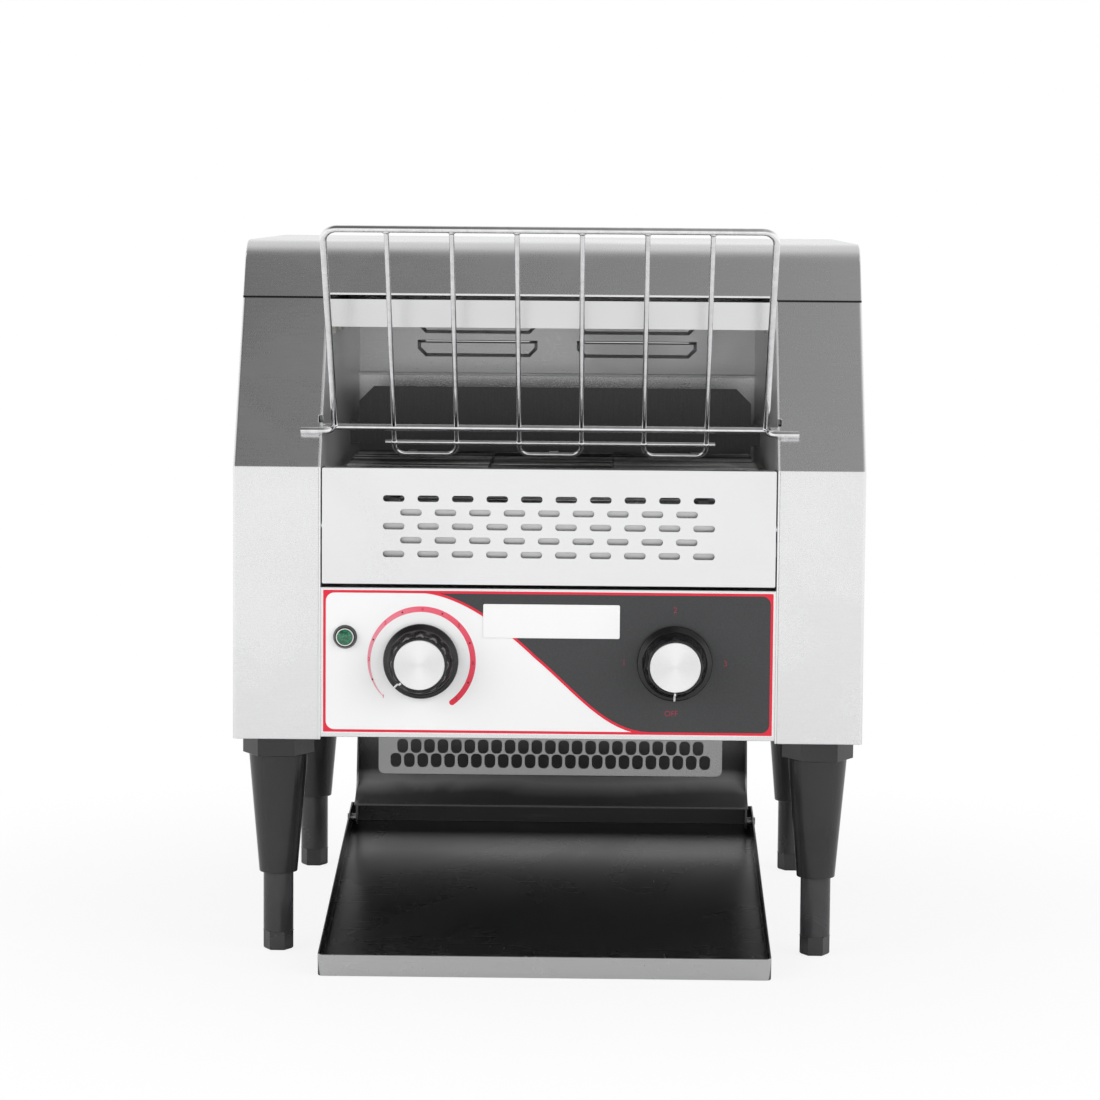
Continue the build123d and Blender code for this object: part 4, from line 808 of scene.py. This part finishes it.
def conveyor_belt():
    """Flat wire belt of round strands; each steps over at two places and hooks its neighbour."""
    edge = span("conveyor_belt", 0)[1] - BELT_STRAND
    left = [(-edge, BELT_HOOK), (-edge, 0), (-BELT_JOG, 0), (-BELT_JOG, BELT_STEP)]
    route = left + [(-x, step) for x, step in left[::-1]]
    routes = []
    for strand in range(2 * BELT_RUN + BELT_TEETH):
        points = [(x, *belt_point(strand + step)) for x, step in route]
        routes.append(rounded_route(points, BELT_CORNER, 3))
    belt = add_piece("wire_belt", wire_mesh(routes, BELT_STRAND, 8), BELT_WIRE)
    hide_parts("conveyor_belt")


# ---- front panel and guard
SLOT_LENGTH = 12.5 * MM
SLOT_HEIGHT = 3.5 * MM
SLOT_PITCH = 20.05 * MM
SLOT_ROW_PITCH = 8.1 * MM
LONG_ROW = 10  # slots in the first, third and fifth row
PANEL_GAP = 0.8 * MM  # beside the panel
PANEL_SHEET = 1.0 * MM
PANEL_PIN_RADIUS = 2.5 * MM
LINING_SHEET = 0.8 * MM
LINING_DEPTH = 6.5 * MM  # back of the lining behind the panel's face
LINING_INSET = (2.0 * MM, 1.5 * MM)


def slot_outline(cx, cz):
    """Outline of one slot with half-round ends."""
    reach = (SLOT_LENGTH - SLOT_HEIGHT) / 2
    radius = SLOT_HEIGHT / 2
    right = arc_points(cx + reach, cz, radius, -90, 90, 8)
    left = arc_points(cx - reach, cz, radius, 90, 270, 8)
    return right + left


def front_panel():
    """Perforated pan: face with punched slots, turned-back edges and end pins."""
    low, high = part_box("front_panel")
    half = CHAMBER_X - PANEL_GAP
    middle = (low[2] + high[2]) / 2
    outlines = [rounded_rectangle(0, middle, 2 * half, high[2] - low[2], 0.8 * MM, 3)]
    for row in range(-2, 3):
        count = LONG_ROW - row % 2
        for k in range(count):
            x = (k - (count - 1) / 2) * SLOT_PITCH
            outlines.append(slot_outline(x, middle + row * SLOT_ROW_PITCH))
    sheet = flat_mesh(outlines, PANEL_SHEET, low[1] + PANEL_SHEET, 0.18 * MM)
    face = sharpen(add_piece("panel_face", sheet, PANEL_STEEL), 50)
    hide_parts("front_panel")
    panel_lining(low, half, middle + 1.5 * SLOT_ROW_PITCH)
    rim = bmesh.new()
    front = low[1] + 0.7 * PANEL_SHEET
    back = high[1]
    for x0, x1, z0, z1 in (
        (-half, half, low[2], low[2] + PANEL_SHEET),
        (-half, half, high[2] - PANEL_SHEET, high[2]),
        (-half, -half + PANEL_SHEET, low[2], high[2]),
        (half - PANEL_SHEET, half, low[2], high[2]),
    ):
        centre = Matrix.Translation(((x0 + x1) / 2, (front + back) / 2, (z0 + z1) / 2))
        size = Matrix.Diagonal((x1 - x0, back - front, z1 - z0, 1.0))
        bmesh.ops.create_cube(rim, size=1.0, matrix=centre @ size)
    edge = add_piece("panel_rim", form_mesh(rim, "rim"), PANEL_STEEL, smooth=False)
    pins = []
    for sign in (-1, 1):
        ends = (half - 0.5 * PANEL_SHEET, CHAMBER_X - 0.05 * MM)
        pins.append([(sign * x, (front + back) / 2, middle) for x in ends])
    pin = sharpen(add_piece("panel_pins", wire_mesh(pins, PANEL_PIN_RADIUS, 16), BRIGHT_WIRE))


def panel_lining(low, half, top):
    """Pale sheet inside the panel, behind the four lower rows of slots."""
    aside, below = LINING_INSET
    size = (2 * (half - aside), top - low[2] - 2 * below)
    outline = rounded_rectangle(0, (low[2] + top) / 2, *size, 1.0 * MM, 3)
    sheet = flat_mesh([outline], LINING_SHEET, low[1] + LINING_DEPTH, 0.1 * MM)
    lining = sharpen(add_piece("panel_lining", sheet, VENT_STEEL), 50)


GUARD_PITCH = 8.4 * MM
GUARD_ROW_PITCH = 9.0 * MM
GUARD_FIRST_Z = 96.0 * MM
GUARD_HOLE = (6.6 * MM, 8.2 * MM, 2.7 * MM)  # width, height and corner
GUARD_COUNTS = (24, 23)  # holes in the lower and the upper row
GUARD_CORNER = 4.0 * MM


def exit_guard():
    """Guard with two rows of upright holes in front of the toast exit."""
    low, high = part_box("exit_guard")
    size = (high[0] - low[0], high[2] - low[2])
    outlines = [rounded_rectangle(0, (low[2] + high[2]) / 2, *size, GUARD_CORNER)]
    for row, count in enumerate(GUARD_COUNTS):
        for k in range(count):
            spot = ((k - (count - 1) / 2) * GUARD_PITCH, GUARD_FIRST_Z + row * GUARD_ROW_PITCH)
            outlines.append(rounded_rectangle(*spot, *GUARD_HOLE))
    sheet = flat_mesh(outlines, high[1] - low[1], high[1], 0.35 * MM)
    guard = sharpen(add_piece("guard_sheet", sheet, GUARD_STEEL), 50)
    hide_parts("exit_guard")


# ---- printed panel
INK = 0.06 * MM  # thickness of one printed layer
BORDER_INSET = 0.5 * MM
BORDER_LINE = 1.5 * MM
FIELD_CORNER = 5.0 * MM
DIVIDER_HALF = 0.75 * MM
SCALE_CENTRE = (-74.0 * MM, 178.0 * MM)
SELECTOR_CENTRE = (74.0 * MM, 178.0 * MM)
SCALE_RADIUS = 30.4 * MM
SCALE_START = 224.0
SCALE_END = -53.0
SCALE_LAST_MARK = -47.0
SCALE_MARKS = 13
SCALE_THIN = 0.15 * MM  # half of the ring's width at its start
SCALE_GROWTH = 1.5 * MM  # added to that at its full width
SCALE_WIDENS = 0.42  # share of the scale over which it widens
RED_MARKS = 8
MARK_REACH = 29.5 * MM
MARK_HEIGHT = 3.6 * MM
PLATE_CENTRE = (2.0 * MM, 201.9 * MM)
PLATE_SIZE = (79.6 * MM, 19.8 * MM)


def divider():
    """Centre line of the curved boundary between the white and the dark field, as (x, z)."""
    knots = (
        ((-76.0, 218.7), (-55.0, 218.7), (-30.0, 202.6), (-7.4, 181.0)),
        ((-7.4, 181.0), (16.2, 161.5), (34.0, 136.6), (60.0, 136.6)),
    )
    points = []
    for knot in knots:
        points += bezier_points(*knot)[1 if points else 0 :]
    return [(x * MM, z * MM) for x, z in points]


def offset_line(points, distance):
    """Points moved square to a line's run by a distance, to its left."""
    moved = []
    for k, (x, z) in enumerate(points):
        before = points[max(k - 1, 0)]
        after = points[min(k + 1, len(points) - 1)]
        dx, dz = after[0] - before[0], after[1] - before[1]
        size = sqrt(dx * dx + dz * dz)
        moved.append((x - dz / size * distance, z + dx / size * distance))
    return moved


def ink(name, outlines, material, layer):
    """Thin printed shape on the overlay; higher layers lie on top."""
    y = OVERLAY_Y - (layer - 1) * INK
    piece = add_piece(name, flat_mesh(outlines, INK, y), material, smooth=False)


def control_print():
    """Dark field, red border and the divider between the fields."""
    low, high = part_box("control_overlay")
    x1 = high[0] - BORDER_INSET
    z0, z1 = low[2] + BORDER_INSET, high[2] - BORDER_INSET
    middle = (z0 + z1) / 2
    outer = rounded_rectangle(0, middle, 2 * x1, z1 - z0, 0.4 * MM, 2)
    inner_size = (2 * (x1 - BORDER_LINE), z1 - z0 - 2 * BORDER_LINE)
    inner = rounded_rectangle(0, middle, *inner_size, FIELD_CORNER, 8)
    ink("border_print", [outer, inner], FILM_RED, 2)
    boundary = divider()
    lower, upper = z0 + BORDER_LINE / 2, z1 - BORDER_LINE / 2
    corner_x = x1 - BORDER_LINE / 2 - FIELD_CORNER
    field = boundary + [(corner_x, lower)]
    field += arc_points(corner_x, lower + FIELD_CORNER, FIELD_CORNER, -90, 0, 8)
    field += arc_points(corner_x, upper - FIELD_CORNER, FIELD_CORNER, 0, 90, 8)
    band = offset_line(boundary, DIVIDER_HALF) + offset_line(boundary, -DIVIDER_HALF)[::-1]
    for name, outline, material, layer in (
        ("dark_field_print", field, FILM_DARK, 1),
        ("divider_print", band, FILM_RED, 3),
    ):
        ink(name, [[(x, min(max(z, lower), upper)) for x, z in outline]], material, layer)


def colour_scale():
    """Scale round the colour knob: a ring that widens, with dots and plain numbers."""
    steps = 72
    outer, inner = [], []
    for k in range(steps + 1):
        share = k / steps
        angle = SCALE_START + (SCALE_END - SCALE_START) * share
        half = SCALE_THIN + SCALE_GROWTH * min(1.0, share / SCALE_WIDENS) ** 0.8
        outer.append(ring_point(*SCALE_CENTRE, SCALE_RADIUS + half, angle))
        inner.append(ring_point(*SCALE_CENTRE, SCALE_RADIUS - half, angle))
    end = ring_point(*SCALE_CENTRE, SCALE_RADIUS, SCALE_END)
    tip = arc_points(*end, SCALE_THIN + SCALE_GROWTH, SCALE_END, SCALE_END - 180, 8)
    ink("scale_print", [outer + tip[1:-1] + inner[::-1]], scale_ink(SCALE_CENTRE), 1)
    dots = []
    for k in range(SCALE_MARKS):
        angle = SCALE_START + (SCALE_LAST_MARK - SCALE_START) * k / (SCALE_MARKS - 1)
        spot = ring_point(*SCALE_CENTRE, SCALE_RADIUS, angle)
        if k % 2:
            dots.append(arc_points(*spot, 0.5 * MM, 0, 345, 23))
        else:
            place = k // 2 + 1
            tone = FILM_RED if k < RED_MARKS else DIM_RED
            number(f"scale_number_{place}", str(place), *spot, 2.3 * MM, tone)
    ink("scale_dots_print", dots, KNOB_BLACK, 3)


def number(name, text, x, z, height, material):
    """Plain printed characters on the overlay, centred on a point."""
    data = bpy.data.curves.new(name, "FONT")
    data.body = text
    data.size = height * 1.35
    data.align_x = "CENTER"
    data.align_y = "CENTER"
    data.extrude = INK / 2
    piece = add_piece(name, curve_mesh(data, (x, OVERLAY_Y - 2.5 * INK, z)), material, smooth=False)


def selector_marks():
    """OFF below the selector and plain numbers at its other positions."""
    cx, cz = SELECTOR_CENTRE
    number("selector_off", "OFF", cx - 1.7 * MM, cz - 29.8 * MM, 3.4 * MM, DIM_RED)
    for name, text, x, z in (
        ("selector_one", "1", -MARK_REACH, 0),
        ("selector_two", "2", 0, MARK_REACH + 1.5 * MM),
        ("selector_three", "3", MARK_REACH, 0),
    ):
        number(name, text, cx + x, cz + z, MARK_HEIGHT, DIM_RED)


def bare_plate():
    """Small blank plate stuck to the overlay."""
    outline = rounded_rectangle(*PLATE_CENTRE, *PLATE_SIZE, 0.9 * MM, 4)
    plate = add_piece("blank_plate", flat_mesh([outline], 0.7 * MM, OVERLAY_Y, 0.15 * MM), PLATE_WHITE)
    sharpen(plate, 50)


# ---- knobs and lamp
KNOB_LOBES = 12
FLUTE_DEPTH = 0.75 * MM
FLUTE_START = 4.2 * MM  # from the knob's back
FLUTE_FADE = 5.0 * MM
GRIP_START = 4.3 * MM  # from the knob's back
GRIP_LENGTH = 12.4 * MM
GRIP_RADIUS = 18.4 * MM
GRIP_TAPER = 1.7 * MM
POINTER_HALF = 0.55 * MM
LAMP_RING_RADIUS = 4.9 * MM
LAMP_RING_LINE = 0.28 * MM
# millimetres: inset from the skirt or else the radius, then the distance from the back or the nose
SKIRT_EDGE = ((0.6, 0.0), (0.1, 0.5), (0.0, 1.2), (0.1, 2.0), (0.7, 2.6), (2.0, 3.0))
NOSE_EDGE = ((16.55, 1.0), (16.1, 0.35), (15.6, 0.0))
POINTER_NOSE = ((15.0, -0.05), (15.8, -0.05), (16.7, 0.9))
POINTER_FLANK = ((17.6, 9.0), (18.9, 4.2), (19.8, 3.35))


def box_centre(node):
    """X and Z of the middle of a CAD node's box."""
    low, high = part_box(node)
    return (low[0] + high[0]) / 2, (low[2] + high[2]) / 2


def knob(name, body, pointer):
    """Glossy fluted knob with a skirt, a spun cap and a white pointer line."""
    low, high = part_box(f"{name}_knob")
    cap_low, cap_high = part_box(f"{name}_knob_cap")
    centre = box_centre(f"{name}_knob_cap")
    back, nose = high[1], low[1]
    skirt = (high[0] - low[0]) / 2
    cap_radius = (cap_high[0] - cap_low[0]) / 2

    def fluted(radius, y, angle):
        if back - y < FLUTE_START or y < nose + 1.0 * MM:
            return radius
        depth = FLUTE_DEPTH * min(1.0, (back - y - FLUTE_START) / FLUTE_FADE)
        return radius - depth * (0.5 - 0.5 * cos(KNOB_LOBES * angle))

    profile = [(3.0 * MM, back)]
    profile += [(skirt - inset * MM, back - depth * MM) for inset, depth in SKIRT_EDGE]
    profile += [(19.3 * MM, back - 3.5 * MM), (18.6 * MM, back - GRIP_START)]
    shares = [k / 8 for k in range(1, 8)]
    profile += [(GRIP_RADIUS - GRIP_TAPER * t, back - GRIP_START - GRIP_LENGTH * t) for t in shares]
    profile += [(radius * MM, nose + depth * MM) for radius, depth in NOSE_EDGE]
    profile += [(cap_radius + 0.1 * MM, nose), (cap_radius, nose + 0.2 * MM)]
    profile += [(cap_radius, cap_high[1]), (0.0, cap_high[1])]
    piece = add_piece(f"{name}_grip", revolve_mesh(profile, centre, 192, fluted), KNOB_BLACK, body)
    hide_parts(f"{name}_knob")
    front = cap_low[1]
    disc = [
        (0.0, cap_high[1] - 0.1 * MM),
        (cap_radius - 0.1 * MM, cap_high[1] - 0.1 * MM),
        (cap_radius - 0.1 * MM, front + 0.35 * MM),
        (cap_radius - 0.45 * MM, front),
        (0.0, front),
    ]
    cap = sharpen(add_piece(f"{name}_cap", revolve_mesh(disc, centre, 96), CAP_METAL, body), 40)
    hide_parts(f"{name}_knob_cap")
    lines = bmesh.new()
    along = Vector((cos(radians(pointer)), 0, sin(radians(pointer))))
    side = along.cross(Vector((0, 1, 0)))
    middle = Vector((centre[0], 0, centre[1]))
    stations = [(radius * MM, nose + depth * MM) for radius, depth in POINTER_NOSE]
    stations += [(radius * MM, back - height * MM) for radius, height in POINTER_FLANK]
    stations += [(skirt - 0.5 * MM, back - 2.9 * MM), (skirt + 0.02 * MM, back - 1.9 * MM)]
    ring = []
    for radius, y in stations:
        spot = middle + along * radius + Vector((0, y, 0))
        ring.append([lines.verts.new(spot + side * (s * POINTER_HALF)) for s in (-1, 1)])
    for one, two in zip(ring, ring[1:]):
        lines.faces.new((one[0], one[1], two[1], two[0]))
    mark = add_piece(f"{name}_pointer_line", form_mesh(lines, "pointer"), POINTER_WHITE, body)
    mark.modifiers.new("thick", "SOLIDIFY").thickness = 0.1 * MM


def lamp_ring():
    """Pale printed ring round the lens."""
    front = span("lamp_bezel", 1)[0]
    circle = arc_points(*box_centre("lamp_bezel"), LAMP_RING_RADIUS, 0, 360, 48)
    route = [(x, front + 0.05 * MM, z) for x, z in circle]
    ring = add_piece("lamp_ring", wire_mesh([route], LAMP_RING_LINE, 8), POINTER_WHITE)


# ---- screws
HEAD_RADIUS = 3.7 * MM
HEAD_TOP_RADIUS = 2.6 * MM
HEAD_HEIGHT = 1.9 * MM
SCREW_X = 141 * MM
SCREW_EDGE = 12 * MM  # from the edge of the sheet that it holds
GUARD_SCREW = (95 * MM, 150 * MM)  # X and Z


def screw_heads():
    """Small pan-head screws of the rear panels and the guard, all with their heads at the back."""
    heads = bmesh.new()
    rear = span("rear_service_panel", 1)[1]
    guard = span("exit_guard", 1)[1]
    split = span("rear_service_panel", 2)[1]
    bottom = span("left_side_housing", 2)[0]
    rows = (bottom + SCREW_EDGE, split - SCREW_EDGE, split + SCREW_EDGE + SHEET_GAP, SEAM_Z - SCREW_EDGE)
    places = []
    for sign in (-1, 1):
        places += [(sign * SCREW_X, rear, z) for z in rows]
        places.append((sign * GUARD_SCREW[0], guard, GUARD_SCREW[1]))
    backward = Vector((0, 1, 0)).to_track_quat("Z", "Y").to_matrix().to_4x4()
    for place in places:
        bmesh.ops.create_cone(
            heads,
            cap_ends=True,
            segments=24,
            radius1=HEAD_RADIUS,
            radius2=HEAD_TOP_RADIUS,
            depth=HEAD_HEIGHT,
            matrix=Matrix.Translation(place) @ backward @ Matrix.Translation((0, 0, HEAD_HEIGHT / 2)),
        )
    screws = sharpen(add_piece("panel_screw_heads", form_mesh(heads, "screws"), TURNED))


bread_rack()
conveyor_belt()
front_panel()
exit_guard()
control_print()
colour_scale()
selector_marks()
bare_plate()
knob("colour", "colour_control", 225.0)
knob("selector", "selector_control", 270.0)
lamp_ring()
screw_heads()


# ---- studio
FLOOR_REACH = 30.0


def mix_shader(tree, factor, one, two, out):
    """Blend two shaders into an output node."""
    mix = tree.nodes.new("ShaderNodeMixShader")
    tree.links.new(factor, mix.inputs[0])
    tree.links.new(one.outputs[0], mix.inputs[1])
    tree.links.new(two.outputs[0], mix.inputs[2])
    tree.links.new(mix.outputs[0], out.inputs["Surface"])


def floor_and_backdrop():
    """Pale floor that fades to plain white away from the toaster."""
    mesh = bpy.data.meshes.new("floor")
    corners = [(x * FLOOR_REACH, y * FLOOR_REACH, 0) for x, y in ((-1, -1), (1, -1), (1, 1), (-1, 1))]
    mesh.from_pydata(corners, [], [(0, 1, 2, 3)])
    floor = new_object("studio_floor", mesh)
    material, tree, shader = new_material("studio_white")
    grain = noise(tree, place_vector(tree), 3.0)
    finish(shader, mix_colour(tree, grain, (0.93, 0.93, 0.93), (0.95, 0.95, 0.95)), 0.7)
    shader.inputs["Specular IOR Level"].default_value = 0.1
    glow = tree.nodes.new("ShaderNodeEmission")
    glow.inputs["Color"].default_value = (1, 1, 1, 1)
    away = operation_node(tree, "ShaderNodeVectorMath", "LENGTH", place_vector(tree))
    path = tree.nodes.new("ShaderNodeLightPath")
    mirrored = math_node(tree, "MAXIMUM", path.outputs["Is Glossy Ray"], path.outputs["Is Transmission Ray"])
    near = map_range(tree, away.outputs["Value"], 0.2, 0.6, 0.86, 1.0, smooth=True)
    far = map_range(tree, away.outputs["Value"], 0.9, 1.9, smooth=True)
    direct = times(tree, near, path.outputs["Is Camera Ray"])
    fade = math_node(tree, "MAXIMUM", direct, times(tree, far, mirrored))
    mix_shader(tree, fade, shader, glow, tree.nodes["Material Output"])
    mesh.materials.append(material)


DIM_ELEVATION = radians(60)
DIM_EDGE = radians(62)  # from the middle of the dim part
DIM_CORE = radians(30)


def world_light():
    """White room, dim high up in front; seen directly it is plain white."""
    world = bpy.data.worlds.new("studio_world")
    bpy.context.scene.world = world
    world.use_nodes = True
    tree = world.node_tree
    tree.nodes.clear()
    out = tree.nodes.new("ShaderNodeOutputWorld")
    room = tree.nodes.new("ShaderNodeBackground")
    plain = tree.nodes.new("ShaderNodeBackground")
    direction = tree.nodes.new("ShaderNodeTexCoord").outputs["Generated"]
    parts = tree.nodes.new("ShaderNodeSeparateXYZ")
    tree.links.new(direction, parts.inputs[0])
    up_ahead = (0.0, -cos(DIM_ELEVATION), sin(DIM_ELEVATION))
    towards = operation_node(tree, "ShaderNodeVectorMath", "DOT_PRODUCT", direction, up_ahead)
    dim = map_range(tree, towards.outputs["Value"], cos(DIM_EDGE), cos(DIM_CORE), smooth=True)
    dimmest = map_range(tree, parts.outputs["X"], -0.12, 0.2, 0.12, 0.42)
    around = map_range(tree, parts.outputs["Z"], 0.3, 0.65, 0.97, 0.7, smooth=True)
    bright = times(tree, math_node(tree, "SUBTRACT", 1.0, dim), around)
    level = plus(tree, bright, times(tree, dim, dimmest))
    tree.links.new(level, room.inputs["Strength"])
    for background in (room, plain):
        background.inputs["Color"].default_value = (1, 1, 1, 1)
    path = tree.nodes.new("ShaderNodeLightPath")
    mix_shader(tree, path.outputs["Is Camera Ray"], room, plain, out)


SOFT_BOX_SIZE = 1.9
SOFT_BOX_AIM = Vector((0, 0, 0.25))


def soft_box(name, place, watts):
    """Large square soft light; neither the camera nor shiny surfaces show it."""
    light = bpy.data.lights.new(name, "AREA")
    light.shape = "SQUARE"
    light.size = SOFT_BOX_SIZE
    light.energy = watts
    lamp = new_object(name, light)
    lamp.location = place
    lamp.rotation_mode = "QUATERNION"
    lamp.rotation_quaternion = (SOFT_BOX_AIM - Vector(place)).to_track_quat("-Z", "Y")
    lamp.visible_camera = False
    lamp.visible_glossy = False


SENSOR_WIDTH = 36.0
FOCAL_PIXELS = 3629.2  # focal length in the pixels of a frame that is FRAME_PIXELS wide
FRAME_PIXELS = 1100


def camera():
    """Long lens a little above the toaster, almost square to its front."""
    place = Vector((0.0288, -2.247, 0.4498))
    yaw, pitch, roll = radians(-0.764), radians(5.606), radians(0.465)
    ahead = Vector((sin(yaw) * cos(pitch), cos(yaw) * cos(pitch), -sin(pitch)))
    right = Vector((cos(yaw), -sin(yaw), 0))
    up = right.cross(ahead)
    tilted_right = right * cos(roll) + up * sin(roll)
    tilted_up = up * cos(roll) - right * sin(roll)
    turn = Matrix((tilted_right, tilted_up, -ahead)).transposed()
    data = bpy.data.cameras.new("camera")
    data.sensor_width = SENSOR_WIDTH
    data.lens = FOCAL_PIXELS / FRAME_PIXELS * SENSOR_WIDTH
    data.clip_start = 0.05
    data.clip_end = 100.0
    eye = new_object("camera", data)
    eye.matrix_world = Matrix.Translation(place) @ turn.to_4x4()
    bpy.context.scene.camera = eye


floor_and_backdrop()
world_light()
soft_box("left_soft_box", (-1.7, -1.5, 1.1), 23.5)
soft_box("right_soft_box", (1.9, -1.4, 1.0), 22)
camera()
bpy.context.scene.view_settings.view_transform = "Standard"
